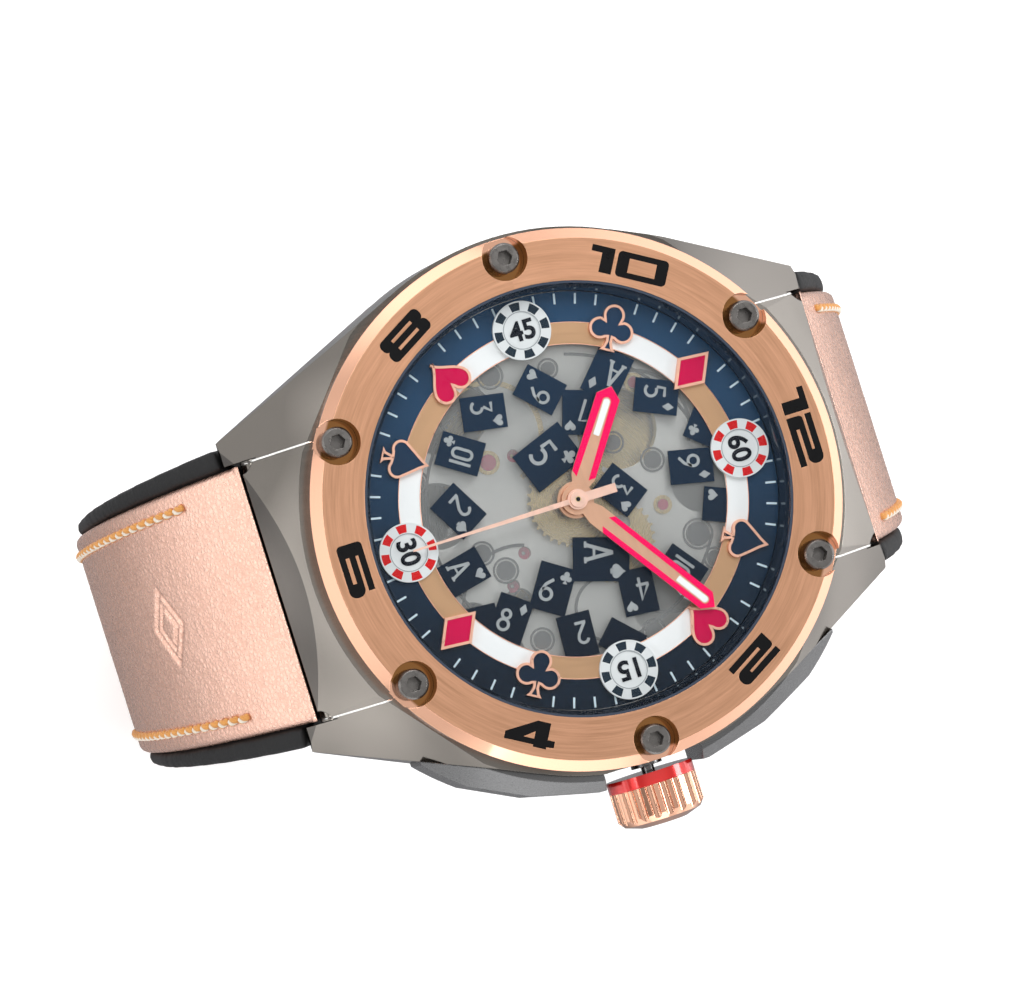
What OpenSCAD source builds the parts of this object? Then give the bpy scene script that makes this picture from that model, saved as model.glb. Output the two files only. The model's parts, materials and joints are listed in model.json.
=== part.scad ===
// Skeleton wristwatch on a closed strap loop, standing on its folded clasp.
// Millimetres. Z up through the dial, Y towards 12 o'clock, X towards the crown.

/* [Case] */
// Height of the bezel's top face above the table
head_z = 67; // [60:0.5:75]
// Outer radius of the bezel
bezel_r = 21.1; // [20:0.1:22.5]
// Radius of the bezel's opening
bezel_in = 16.95; // [16.5:0.05:17.5]
// Thickness of the bezel
bezel_t = 2.4; // [1.5:0.1:3]
// Radius of the round part of the case
case_r = 21.4; // [21:0.1:23]
// Underside of the case below the bezel's top face
case_low = 10.8; // [9:0.1:12]
// Distance of the bezel screws from the dial's centre
screw_c = 19.5; // [19:0.1:20]
// Radius of a bezel screw's head
screw_r = 1.2; // [1:0.05:1.5]
// Radius of a bezel screw's recess
recess_r = 1.8; // [1.4:0.05:2]

/* [Dial] */
// Depth of the dial's face below the bezel's top face
dial_z = 2.3; // [2:0.1:3]
// Inner radius of the coloured ring
ring_in = 12.2; // [11.5:0.1:13]
// Outer radius of the coloured ring
ring_out = 13.9; // [13:0.1:15]
// Radius on which the hour markers sit
marker_c = 13.8; // [13:0.1:15]
// Radius of a poker chip
chip_r = 2.3; // [2:0.1:2.6]

/* [Hands] */
// Length of the hour hand
hour_len = 9.35; // [7:0.1:10]
// Length of the minute hand
minute_len = 13.75; // [12:0.1:15]
// Length of the seconds hand
second_len = 13.6; // [12:0.1:15]
// Clockwise angle of the hour hand
hour_a = 305.5; // [0:0.25:360]
// Clockwise angle of the minute hand
minute_a = 54.75; // [0:0.25:360]
// Clockwise angle of the seconds hand
second_a = 180; // [0:1:360]

/* [Crown] */
// Depth of the crown's axis below the bezel's top face
crown_z = 6.2; // [5:0.1:7]
// Radius of the crown
crown_r = 3.5; // [3:0.1:4]

/* [Strap] */
// Outer bend radius of the 12 o'clock strap
strap_r12 = 45; // [40:0.5:50]
// Outer bend radius of the 6 o'clock strap
strap_r6 = 40.6; // [36:0.1:46]
// Thickness of the strap
strap_t = 4.2; // [3:0.1:5]
// Thickness of the leather layer
leather_t = 1.5; // [1:0.1:2]
// Distance of the strap bars from the case's centre
bar_y = 21.7; // [21:0.1:23]
// Depth of the strap bars below the bezel's top face
bar_z = 8.5; // [8:0.1:10]

/* [Clasp] */
// Width of the clasp's cover
cover_w = 20.4; // [18:0.1:22]
// Distance of the clasp's pivot from the middle
clasp_y = 16.2; // [15:0.1:18]
// Height of the clasp's pivot above the table
clasp_z = 3.1; // [3:0.1:4]

/* [Hidden] */
$fn = 96;
lug_x = 10.65;
steel = [0.42, 0.40, 0.38];
rose = [0.82, 0.55, 0.42];
navy = [0.05, 0.09, 0.18];
third_p = [-4.718, -3.304];
escape_p = [2.75, -4.763];
barrel_p = [-4.37, 5.21];
balance_p = [7.5, -8.3];
pallet_p = [4.93, -6.387];
minute_p = [3.8, 2.2];
screw_p = [[-14.9, 2.4], [-10.6, 10.8], [1.8, 15.0], [-13.9, -5.6], [-6.8, -13.4], [13.6, 6.6], [1.2, -15.0], [14.9, -2.6]];

// ---- helpers ----
module head() { translate([0, 0, head_z]) children(); }
module disc(r, z0, z1, q = 0) { translate([0, 0, z0]) cylinder(r = r, h = z1 - z0, $fn = q > 0 ? q : 96); }
module tube(r0, r1, z0, z1) { rotate_extrude() translate([r0, z0]) square([r1 - r0, z1 - z0]); }
module slab(z0, z1) { translate([0, 0, z0]) linear_extrude(height = z1 - z0) children(); }
module across(w) { rotate([90, 0, 90]) linear_extrude(height = w, center = true) children(); }
module at_clock(a, r) { rotate([0, 0, -a]) translate([0, r, 0]) children(); }
module sector2(r0, r1, a0, a1) {
    intersection() {
        difference() { circle(r1); circle(r0); }
        polygon([[0, 0], for (i = [0:6]) let (a = a0 + (a1 - a0) * i / 6) [r1 * 1.3 * cos(a), r1 * 1.3 * sin(a)]]);
    }
}
module gear2(n, m, hi, lo, ph) {
    r = n * m / 2;
    polygon([for (i = [0:n - 1]) for (k = [0:3]) let (q = 360 / n,
        a = ph + q * i + q * [-0.27, -0.1, 0.1, 0.27][k], rr = r + m * [-lo, hi, hi, -lo][k]) [rr * cos(a), rr * sin(a)]]);
}
// phase that puts gear B's gap on gear A's tooth, B lying in direction b from A
function ph(b, na, nb) = b + 180 - 360 / nb * (0.5 - b * na / 360);
module spokes2(r, n) {
    difference() { children(); for (i = [0:n - 1]) rotate(360 / n * i + 12) translate([r * 0.56, 0]) circle(r * 0.23); }
}
// one squared digit in a box w wide and h high, stroke t, centred
module digit2(d, w, h, t) {
    s = t * 1.15;
    translate([-w / 2, -h / 2]) {
        if (d == 0) difference() { square([w, h]); translate([s, t]) square([w - 2 * s, h - 2 * t]); }
        if (d == 1) { translate([w * 0.42, 0]) square([s, h]); translate([w * 0.12, h - t * 1.1]) square([w * 0.5, t * 1.1]); }
        if (d == 2) { square([w, t]); translate([0, (h - t) / 2]) square([w, t]); translate([0, h - t]) square([w, t]);
            square([s, h / 2]); translate([w - s, h / 2]) square([s, h / 2]); }
        if (d == 3) { square([w, t]); translate([w * 0.25, (h - t) / 2]) square([w * 0.75, t]); translate([0, h - t]) square([w, t]);
            translate([w - s, 0]) square([s, h]); }
        if (d == 4) { polygon([[0, t * 1.0], [w, t * 1.0], [w, t * 2.0], [s * 1.2, t * 2.0], [w * 0.62, h], [w * 0.38, h], [0, t * 1.9]]);
            translate([w * 0.52, 0]) square([s, h]); }
        if (d == 5) { square([w, t]); translate([0, (h - t) / 2]) square([w, t]); translate([0, h - t]) square([w, t]);
            translate([0, h / 2]) square([s, h / 2]); translate([w - s, 0]) square([s, h / 2]); }
        if (d == 6) { difference() { square([w, h * 0.6]); translate([s, t * 0.85]) square([w - 2 * s, h * 0.6 - 1.7 * t]); }
            square([s, h]); translate([0, h - t]) square([w, t]); }
        if (d == 8) difference() { square([w, h]); translate([s, t * 0.8]) square([w - 2 * s, (h - 2.4 * t) / 2]);
            translate([s, h / 2 + t * 0.4]) square([w - 2 * s, (h - 2.4 * t) / 2]); }
    }
}
module heart2() { for (s = [-1, 1]) translate([s * 0.76, 0.55]) circle(0.84); polygon([[0, -1.75], [1.43, 0.04], [0.76, 0.55], [0, 0.8], [-0.76, 0.55], [-1.43, 0.04]]); }
module spade2() { translate([0, 0.15]) rotate(180) heart2(); polygon([[0, 0.2], [0.6, -1.8], [-0.6, -1.8]]); }
module club2() { translate([0, 0.9]) circle(0.8); for (s = [-1, 1]) translate([s * 0.86, -0.22]) circle(0.8); circle(0.55); polygon([[0, 0.3], [0.55, -1.75], [-0.55, -1.75]]); }
module diamond2() { polygon([[0, 2.05], [1.42, 0], [0, -2.05], [-1.42, 0]]); }

// ---- case ----
module outline2() {
    circle(case_r);
    polygon([[-12.6, 24.3], [12.6, 24.3], [19.35, 9.2], [19.35, -9.2], [12.6, -24.3], [-12.6, -24.3], [-19.35, -9.2], [-19.35, 9.2]]);
}
module case_middle() color(steel) head() {
    difference() {
        intersection() {
            slab(-case_low, -bezel_t) outline2();
            rotate_extrude() polygon([[0, -11], [28.4, -11], [25.9, -7.6], [21.7, -bezel_t], [0, -bezel_t]]);
        }
        // slanting side facets of the four lugs
        for (mx = [0, 1]) for (my = [0, 1]) mirror([mx, 0, 0]) mirror([0, my, 0])
            rotate([0, 0, 50.1]) rotate([0, -35.9, 0]) translate([15.72, -40, -40]) cube([40, 80, 80]);
        // steep facets above the strap, and the room for the strap's ends
        for (my = [0, 1]) mirror([0, my, 0]) {
            rotate([18, 0, 0]) translate([-40, 20.19, -40]) cube([80, 40, 80]);
            translate([0, bar_y, -bar_z]) rotate([0, 90, 0]) cylinder(r = 2.35, h = 2 * lug_x, center = true);
            translate([-lug_x, bar_y, -30]) cube([2 * lug_x, 20, 30 - bar_z + 0.9]);
            translate([-lug_x, 19.4, -30]) cube([2 * lug_x, 20, 20.1]);
            // rounded ends of the lugs, concentric with the strap bars
            difference() { translate([-30, bar_y, -30]) cube([60, 20, 40]); translate([0, bar_y, -bar_z]) rotate([0, 90, 0]) cylinder(r = 3.1, h = 70, center = true);
                translate([-lug_x, bar_y - 1, -bar_z + 0.9]) cube([2 * lug_x, 22, 22]); }
            translate([0, bar_y, -bar_z]) rotate([0, 90, 0]) cylinder(r = 0.75, h = 23.2, center = true, $fn = 48);
        }
        disc(17.55, -20, 0);
        translate([0, 0, -2.9]) tube(17.9, 18.4, 0, 1);
        translate([0, 0, -case_low - 1]) tube(17.9, 18.4, 0, 1.4);
        for (i = [0:5]) at_clock(30 + 60 * i, screw_c) disc(0.6, -4.6, 0, 32);
        translate([0, 0, -crown_z]) rotate([0, 90, 0]) cylinder(r = 1.25, h = 30, $fn = 48);
        translate([21.0, -4, -crown_z - 4]) cube([5, 8, 8]);
    }
    // ears that hold the strap bars
    for (my = [0, 1]) mirror([0, my, 0]) for (s = [-1, 1]) translate([s * 9.35, 0, 0]) difference() {
        union() {
            translate([-1.25, 18.6, -9.9]) cube([2.5, bar_y - 18.6, 3]);
            translate([0, bar_y, -bar_z]) rotate([0, 90, 0]) cylinder(r = 1.5, h = 2.5, center = true, $fn = 48);
        }
        translate([0, bar_y, -bar_z]) rotate([0, 90, 0]) cylinder(r = 0.75, h = 6, center = true, $fn = 48);
    }
}
module crown_guard() color([0.16, 0.16, 0.17]) head() {
    for (my = [0, 1]) mirror([0, my, 0]) difference() {
        intersection() {
            slab(-9.6, -3.5) difference() {
                polygon([[14, 15], [14, 17.3], [16.2, 17.3], [18.2, 15.4], [21, 9.8], [22.3, 4.6], [22.3, 4.05], [14, 4.05]]);
                outline2();
            }
            rotate_extrude() polygon([[0, -3.5], [21.9, -3.5], [23.6, -5.2], [23.6, -9.6], [0, -9.6]]);
        }
        translate([15, -4.05, -20]) cube([12, 8.1, 20]);
    }
}
module bezel() color(rose) head() difference() {
    rotate_extrude() polygon([[bezel_in, 0], [bezel_r - 0.85, 0], [bezel_r, -0.85], [bezel_r, -bezel_t], [bezel_in, -bezel_t]]);
    for (i = [0:5]) at_clock(30 + 60 * i, screw_c) { disc(recess_r, -1.6, 1, 64); disc(0.6, -5, 0, 32); }
    slab(-0.3, 1) numerals2();
}
// rounded rectangle
module rr2(w, h, r) { translate([r, 0]) square([w - 2 * r, h]); translate([0, r]) square([w, h - 2 * r]);
    for (x = [r, w - r]) for (y = [r, h - r]) translate([x, y]) circle(r, $fn = 48); }
// one broad numeral of the bezel, 2.05 high, its left end at the origin
module broad2(d) translate([0, -1.025]) {
    if (d == 1) { translate([0.87, 0]) square([1.0, 2.05]); translate([0, 1.53]) square([1.4, 0.52]); }
    if (d == 2) { difference() {
            union() { translate([0, 0.8]) square([2.4, 1.25]); translate([1.4, 0.8]) rr2(2.55, 1.25, 0.58); }
            translate([-1, 1.31]) square([3.83, 0.21]); translate([-1, 0]) square([1.35, 1.31]); }
        translate([0, 0.3]) rr2(1.05, 1.01, 0.34); translate([0, 0]) square([3.95, 0.54]); translate([0, 0.2]) square([1.05, 0.6]); }
    if (d == 4) difference() { polygon([[0, 0.17], [0, 0.74], [2.36, 2.05], [3.42, 2.05], [3.42, 0.74], [4.0, 0.74], [4.0, 0.22], [3.42, 0.17], [3.42, 0], [2.36, 0], [2.36, 0.17]]);
        polygon([[1.5, 0.62], [2.34, 0.62], [2.34, 1.2]]); }
    if (d == 6) difference() {
        union() { rr2(2.2, 2.05, 0.36); translate([1, 1.53]) square([2.9, 0.52]); translate([1.6, 0]) rr2(2.6, 1.31, 0.6); }
        translate([1.05, 1.31]) square([4, 0.22]); translate([1.05, 0.5]) square([2.05, 0.3]); }
    if (d == 8) difference() {
        union() { rr2(4.2, 1.06, 0.44); translate([0, 0.99]) rr2(4.2, 1.06, 0.44); }
        translate([1.02, 0.5]) square([2.16, 0.26]); translate([1.02, 1.27]) square([2.16, 0.26]); }
    if (d == 0) difference() { rr2(4.1, 2.05, 0.36); translate([0.95, 0.46]) square([2.2, 1.13]); }
}
module numerals2() {
    for (k = [[0, 1, 2, 0], [60, -1, 2, 0], [120, -1, 4, 180], [180, -1, 6, 180], [240, -1, 8, 180], [300, 1, 0, 0]])
        rotate(-k[0]) translate([0, 18.55]) rotate(k[3])
            if (k[1] < 0) translate([-2.03, 0]) broad2(k[2]);
            else { translate([-3.2, 0]) broad2(1); translate([-1.04, 0]) broad2(k[2]); }
}
module bezel_numerals() color([0.03, 0.03, 0.03]) head() slab(-0.3, -0.04) numerals2();
module bezel_screws() color([0.25, 0.25, 0.26]) head() for (i = [0:5]) at_clock(30 + 60 * i, screw_c) difference() {
    union() {
        rotate_extrude($fn = 48) polygon([[0, -1.6], [screw_r, -1.6], [screw_r, -0.25], [screw_r - 0.15, -0.1], [0, -0.1]]);
        disc(0.6, -4.6, -1.6, 32);
    }
    translate([0, 0, -0.95]) cylinder(r = 0.64, h = 2, $fn = 6);
}
module bezel_gasket() color([0.1, 0.1, 0.1]) head() tube(17.9, 18.4, -2.9, -2.4);
module crystal() color([0.85, 0.92, 0.95, 0.25]) head() rotate_extrude() polygon([[0, -0.65], [16.75, -0.65], [16.75, 0.1], [16.5, 0.35], [0, 0.35]]);
module crystal_gasket() color([0.9, 0.9, 0.9]) head() tube(16.75, bezel_in, -0.65, -0.05);
module rehaut_ring() color([0.05, 0.07, 0.12]) head() rotate_extrude() polygon([[16.45, -0.65], [bezel_in, -0.65], [bezel_in, -2.4], [17.5, -2.4], [17.5, -2.9], [16.35, -2.9], [16.35, -2.3]]);
module caseback_ring() color(steel) head() difference() {
    rotate_extrude() polygon([[14.2, -12.3], [18.6, -12.3], [19, -11.9], [19, -10.8], [17.5, -10.8], [17.5, -9.9], [16.2, -9.9], [16.2, -11], [14.6, -11], [14.6, -12], [14.2, -12]]);
    for (i = [0:5]) at_clock(60 * i, 17.2) translate([-1.1, -0.6, -13]) cube([2.2, 1.2, 1.3]);
}
module caseback_glass() color([0.85, 0.92, 0.95, 0.25]) head() disc(14.6, -12, -11);
module caseback_gasket() color([0.1, 0.1, 0.1]) head() tube(17.9, 18.4, -10.8, -10.4);

// ---- crown ----
module along_x() { translate([0, 0, -crown_z]) rotate([0, 90, 0]) children(); }
module crown_tube() color(steel) head() along_x() difference() { disc(1.25, 17.6, 21.5, 48); disc(0.6, 10, 30, 48); }
module setting_slide() color([0.5, 0.5, 0.52]) head() difference() {
    translate([12.7, -0.8, -crown_z - 0.9]) cube([0.8, 3.2, 1.8]);
    along_x() disc(0.58, 10, 20, 48);
}
module winding_stem() color([0.6, 0.6, 0.62]) head() along_x() { disc(0.52, 11.2, 21.95, 48); disc(0.9, 12.3, 12.65, 48); disc(0.9, 13.55, 13.9, 48); }
module crown() color(rose) head() along_x() difference() {
    rotate_extrude() polygon([[0, 22.9], [crown_r, 22.9], [crown_r, 25.2], [crown_r - 0.4, 25.7], [crown_r - 1.6, 26.1], [0, 26.2]]);
    for (i = [0:19]) rotate([0, 0, 18 * i]) translate([crown_r + 0.12, 0, 22]) cylinder(r = 0.38, h = 6, $fn = 24);
}
module crown_ring() color([0.8, 0.05, 0.05]) head() along_x() disc(crown_r, 21.95, 22.9);

// ---- dial ----
module chapter_ring() color(navy) head() tube(ring_out, 16.3, -dial_z - 0.3, -dial_z);
module minute_ticks() color([0.8, 0.88, 0.95]) head() slab(-dial_z, -dial_z + 0.03) difference() {
    for (i = [0:59]) if (i % 5 != 0) rotate(-6 * i) translate([-0.08, 15.33]) square([0.16, 0.84]);
    for (a = chip_a) rotate(-a) translate([0, marker_c]) circle(chip_r);
}
module ring_part(k) { slab(-dial_z - 0.3, -dial_z) for (i = [0:5]) sector2(ring_in, ring_out, 90 - 60 * i - 30 * k - 30, 90 - 60 * i - 30 * k); }
module white_segments() color([0.9, 0.9, 0.88]) head() ring_part(0);
module copper_segments() color([0.75, 0.5, 0.3]) head() ring_part(1);
module dial_disc() color([0.7, 0.72, 0.74, 0.5]) head() difference() { disc(16.3, -dial_z - 0.6, -dial_z - 0.3); disc(1.2, -5, 0, 48); }
tiles = [[0.2, 9.75, 12, 1], [3.9, 11.4, 202, 1], [-2.75, 12.0, 130, 1], [-5.8, 8.75, 23, 1], [-8.6, 5.55, 133, 1.1], [0.3, 3.75, 55, 1],
    [-6.4, 2.5, 108, 1], [-9.0, 0.05, 225, 1], [-3.8, -0.9, 339.5, 1.3], [7.7, 6.5, 52, 1], [8.25, 2.7, 95, 1.02], [-8.6, -4.75, 9.5, 1],
    [5.0, 0.65, 17, 1.28], [6.05, -3.7, 303, 1.08], [10.1, -2.95, 93, 1], [11.5, 0.35, 45, 0.9], [7.3, -7.65, 307, 1.02], [-6.1, -7.5, 213, 1],
    [-1.9, -9.0, 60, 1.02], [2.75, -10.05, 347.6, 1], [6.9, -10.3, 4, 1]];
module card_tiles() color(navy) head() slab(-dial_z - 0.3, -dial_z - 0.14) difference() {
    intersection() {
        circle(ring_in);
        for (t = tiles) translate([t[0], t[1]]) rotate(-t[2]) square([2.68 * t[3], 3.5 * t[3]], center = true);
    }
    circle(1.25);
}
chip_a = [0, 90, 180, 270];
module inlays2() { for (i = [0:7]) rotate(45 * i) sector2(chip_r * 0.68, chip_r, -11.5, 11.5); }
module chips() color([0.92, 0.92, 0.9]) head() for (a = chip_a) at_clock(a, marker_c) {
    slab(-dial_z, -dial_z + 0.36) difference() { circle(chip_r); inlays2(); circle(chip_r * 0.62); }
    slab(-dial_z, -dial_z + 0.3) circle(chip_r * 0.62);
}
module chip_red_inlays() color([0.78, 0.05, 0.06]) head() for (a = [0, 180]) at_clock(a, marker_c) slab(-dial_z, -dial_z + 0.36) inlays2();
module chip_navy_inlays() color(navy) head() for (a = [90, 270]) at_clock(a, marker_c) slab(-dial_z, -dial_z + 0.36) inlays2();
module chip_numerals() color([0.04, 0.04, 0.05]) head() for (k = [[0, 6, 0, 0], [90, 1, 5, 0], [180, 3, 0, 180], [270, 4, 5, 0]])
    at_clock(k[0], marker_c) rotate([0, 0, k[3]]) slab(-dial_z + 0.3, -dial_z + 0.34) {
        translate([-0.64, 0]) digit2(k[1], 1.06, 1.5, 0.3); translate([0.64, 0]) digit2(k[2], 1.06, 1.5, 0.3); }
module suit2(k) { if (k == 0) spade2(); if (k == 1) heart2(); if (k == 2) club2(); if (k == 3) diamond2(); }
suits = [[30, 0, 30], [60, 1, 60], [120, 2, 300], [150, 3, 330], [210, 0, 30], [240, 1, 60], [300, 2, 300], [330, 3, 330]];
module marker_frames() color(rose) head() for (s = suits) at_clock(s[0], marker_c) rotate([0, 0, s[0] - s[2]])
    slab(-dial_z, -dial_z + 0.4) difference() { suit2(s[1]); scale([0.84, 0.84]) suit2(s[1]); }
module fill(ok) { for (s = suits) if (ok == (s[1] == 1 || s[1] == 3)) at_clock(s[0], marker_c) rotate([0, 0, s[0] - s[2]])
    slab(-dial_z, -dial_z + 0.3) scale([0.84, 0.84]) suit2(s[1]); }
module marker_navy_fills() color(navy) head() fill(false);
module marker_red_fills() color([0.75, 0.03, 0.15]) head() fill(true);

// ---- hands ----
module blade2(len, w) { polygon([[-0.5, 0.8], [-w / 2, 1.9], [-w / 2, len - 0.85], [0, len], [w / 2, len - 0.85], [w / 2, 1.9], [0.5, 0.8]]); }
module hour_hand() color(rose) head() rotate([0, 0, -hour_a]) difference() { union() { slab(-2.0, -1.78) blade2(hour_len, 1.95); disc(1.45, -2.0, -1.78); } disc(0.93, -3, -1, 48); }
module minute_hand() color(rose) head() rotate([0, 0, -minute_a]) difference() { union() { slab(-1.58, -1.38) blade2(minute_len, 1.65); disc(1.2, -1.58, -1.38); } disc(0.6, -3, -1, 48); }
module second_hand() color(rose) head() rotate([0, 0, -second_a]) {
    slab(-1.2, -1.06) difference() { union() { polygon([[-0.21, 0.5], [-0.08, second_len], [0.08, second_len], [0.21, 0.5]]);
        translate([-0.36, -3.2]) square([0.72, 3]); circle(0.8); } circle(0.22); }
    slab(-1.06, -0.9) difference() { circle(0.62); circle(0.22); }
}

// ---- movement ----
module movement_ring() color([0.6, 0.6, 0.62]) head() difference() { tube(16.02, 17.5, -9.9, -2.9); translate([14, -1.5, -crown_z - 1.5]) cube([5, 3, 3]); }
module main_plate() color([0.7, 0.7, 0.7]) head() difference() {
    disc(16, -4.6, -3.6);
    translate([barrel_p[0], barrel_p[1], 0]) disc(3.2, -6, 0, 64);
    translate([balance_p[0], balance_p[1], 0]) for (i = [0:2]) rotate([0, 0, 120 * i]) translate([2.2, 0, 0]) disc(1.25, -6, 0, 48);
    translate([-9.5, -7.5, 0]) disc(3.4, -6, 0, 64);
    translate([9.6, 4.6, 0]) disc(2.6, -6, 0, 64);
    translate([1.5, 10.5, 0]) disc(2.5, -6, 0, 64);
    translate([-2.0, -10.5, 0]) disc(2.6, -6, 0, 64);
    disc(1.05, -6, 0, 48);
    for (p = [third_p, escape_p, pallet_p, balance_p]) translate([p[0], p[1], 0]) disc(0.5, -6, 0, 32);
    for (p = screw_p) translate([p[0], p[1], 0]) disc(0.35, -6, 0, 32);
    translate([minute_p[0], minute_p[1], 0]) disc(0.3, -3.9, 0, 32);
}
module pillar(i, r) { translate([screw_p[i][0], screw_p[i][1], 0]) disc(r, -8.7, -4.6, 48); }
module bore(i) { translate([screw_p[i][0], screw_p[i][1], 0]) { disc(0.35, -10, -4, 32); disc(0.72, -9.7, -9.2, 32); } }
module barrel_bridge() color([0.72, 0.72, 0.73]) head() difference() {
    union() {
        slab(-9.5, -8.7) intersection() { circle(16); polygon([[-20, 1], [-20, 20], [20, 20], [20, 4], [3, 2.6], [-2.6, 2.6]]); }
        for (i = [0, 1, 2, 5]) pillar(i, 0.85);
    }
    translate([barrel_p[0], barrel_p[1], 0]) disc(0.55, -11, -8, 32);
    for (a = [0:5]) translate([barrel_p[0], barrel_p[1], 0]) rotate([0, 0, 60 * a + 20]) translate([3.6, 0, 0]) disc(1.1, -11, -8, 48);
    translate([8.5, 9.4, 0]) disc(2.4, -11, -8, 64);
    for (i = [0, 1, 2, 5]) bore(i);
}
module train_bridge() color([0.72, 0.72, 0.73]) head() difference() {
    union() {
        slab(-9.5, -8.7) intersection() { circle(16); polygon([[-20, 0.8], [-2.8, 2.4], [2.8, 2.4], [4.6, -3.2], [4.2, -6.8], [1.6, -9], [3.6, -20], [-20, -20]]); }
        for (i = [3, 4, 6]) pillar(i, 0.85);
    }
    for (p = [third_p, escape_p]) translate([p[0], p[1], 0]) disc(0.5, -11, -8, 32);
    disc(0.5, -11, -8, 32);
    translate([-9.6, -7.4, 0]) disc(3.0, -11, -8, 64);
    translate([-2.4, -9.6, 0]) disc(2.2, -11, -8, 64);
    for (i = [3, 4, 6]) bore(i);
}
module balance_cock() color([0.72, 0.72, 0.73]) head() difference() {
    union() {
        slab(-9.5, -8.7) union() {
            translate(balance_p) circle(1.6);
            polygon([[6.6, -7.2], [13.6, -1.2], [15.6, -1.6], [15.6, -3.4], [8.6, -9.5]]);
            translate(screw_p[7]) intersection() { circle(1.3); translate(-screw_p[7]) circle(16); }
        }
        intersection() { pillar(7, 1.1); disc(16, -20, 0); }
    }
    translate([balance_p[0], balance_p[1], 0]) disc(0.5, -11, -8, 32);
    bore(7);
}
module bridge_screws() color([0.15, 0.2, 0.45]) head() for (p = screw_p) translate([p[0], p[1], 0]) difference() {
    union() { disc(0.35, -9.2, -3.7, 32); disc(0.72, -9.5, -9.2, 32); }
    translate([-1, -0.09, -9.6]) cube([2, 0.18, 0.2]);
}
module jewel(p, z0, z1, r, b) { translate([p[0], p[1], 0]) difference() { disc(r, z0, z1, 32); disc(b, -20, 0, 24); } }
module jewels() color([0.75, 0.1, 0.3]) head() {
    for (p = [third_p, escape_p, pallet_p, balance_p]) jewel(p, -4.6, -4.1, 0.5, 0.16);
    for (p = [third_p, escape_p, balance_p, [0, 0]]) jewel(p, -9.3, -8.8, 0.5, 0.16);
    jewel(barrel_p, -9.3, -8.8, 0.55, 0.36);
}
module mainspring_barrel() color([0.8, 0.7, 0.45]) head() translate([barrel_p[0], barrel_p[1], 0]) {
    disc(5.6, -7.4, -5.35); slab(-7.85, -7.4) gear2(70, 0.17, 0.5, 0.8, 0); disc(0.33, -9.25, -7.85, 32); disc(2.4, -8.05, -7.85, 64);
}
module centre_wheel() color([0.85, 0.72, 0.4]) head() {
    difference() {
        union() {
            slab(-5.15, -4.95) spokes2(4.9, 5) gear2(64, 0.16, 0.5, 0.8, 0);
            disc(0.6, -7.3, -1.38, 48);
            slab(-7.9, -7.3) gear2(10, 0.17, 0.45, 0.85, ph(atan2(-barrel_p[1], -barrel_p[0]), 70, 10));
            slab(-3.4, -3.16) gear2(10, 0.2195, 0.45, 0.85, 0);
        }
        disc(0.3, -20, 0, 32);
    }
}
module third_wheel() color([0.85, 0.72, 0.4]) head() translate([third_p[0], third_p[1], 0]) {
    disc(0.14, -9.25, -4.15, 24); slab(-5.25, -4.85) gear2(8, 0.16, 0.45, 0.85, ph(atan2(third_p[1], third_p[0]), 64, 8)); disc(0.3, -8, -5.25, 32);
    slab(-8.2, -8) spokes2(4.8, 5) gear2(75, 0.1355, 0.5, 0.8, 0);
}
module seconds_wheel() color([0.85, 0.72, 0.4]) head() {
    disc(0.22, -8.6, -0.9, 32); disc(0.14, -9.25, -8.6, 24);
    slab(-8.3, -7.97) gear2(10, 0.1355, 0.45, 0.85, ph(atan2(-third_p[1], -third_p[0]), 75, 10));
    slab(-8.6, -8.4) spokes2(4.8, 4) gear2(80, 0.125, 0.5, 0.8, 0);
}
module escape_wheel() color([0.8, 0.8, 0.82]) head() translate([escape_p[0], escape_p[1], 0]) {
    disc(0.14, -9.25, -4.15, 24); disc(0.28, -8.3, -5.6, 32); slab(-8.65, -8.3) gear2(8, 0.125, 0.45, 0.85, ph(atan2(escape_p[1], escape_p[0]), 80, 8));
    slab(-5.8, -5.6) difference() {
        polygon([for (i = [0:14]) for (k = [0:3]) let (a = 24 * i + [0, 3, 7, 16][k], r = [1.98, 1.98, 1.5, 1.42][k]) [r * cos(a), r * sin(a)]]);
        for (i = [0:4]) rotate(72 * i) translate([0.85, 0]) circle(0.36);
    }
}
module pallet_fork() color([0.75, 0.75, 0.78]) head() translate([pallet_p[0], pallet_p[1], 0]) {
    disc(0.13, -6.0, -4.15, 24);
    rotate([0, 0, atan2(balance_p[1] - pallet_p[1], balance_p[0] - pallet_p[0])]) slab(-5.8, -5.62) {
        circle(0.42);
        polygon([[-0.3, -0.9], [-0.3, 0.9], [0.2, 0.3], [2.3, 0.14], [2.3, -0.14], [0.2, -0.3]]);
        polygon([[2.2, -0.1], [2.2, 0.1], [2.75, 0.42], [2.75, 0.24], [2.45, 0], [2.75, -0.24], [2.75, -0.42]]);
    }
}
module balance_wheel() color([0.85, 0.7, 0.4]) head() translate([balance_p[0], balance_p[1], 0]) {
    disc(0.14, -9.25, -4.15, 24); disc(0.3, -8.5, -5.95, 32);
    slab(-6.9, -6.4) difference() { circle(4.2); circle(3.65); }
    slab(-6.8, -6.5) { circle(0.7); for (i = [0:2]) rotate(120 * i) translate([0.4, -0.28]) square([3.4, 0.56]); }
    for (i = [0:7]) rotate([0, 0, 45 * i + 15]) translate([3.92, 0, 0]) disc(0.22, -7.1, -6.3, 24);
}
module hairspring() color([0.2, 0.25, 0.5]) head() translate([balance_p[0], balance_p[1], 0]) slab(-7.75, -7.6) {
    difference() { circle(0.5); circle(0.3); }
    for (r = [0.75, 1.05, 1.35, 1.65, 1.95, 2.25]) difference() { circle(r); circle(r - 0.07); }
    translate([0.45, -0.05]) square([1.8, 0.1]);
}
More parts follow.
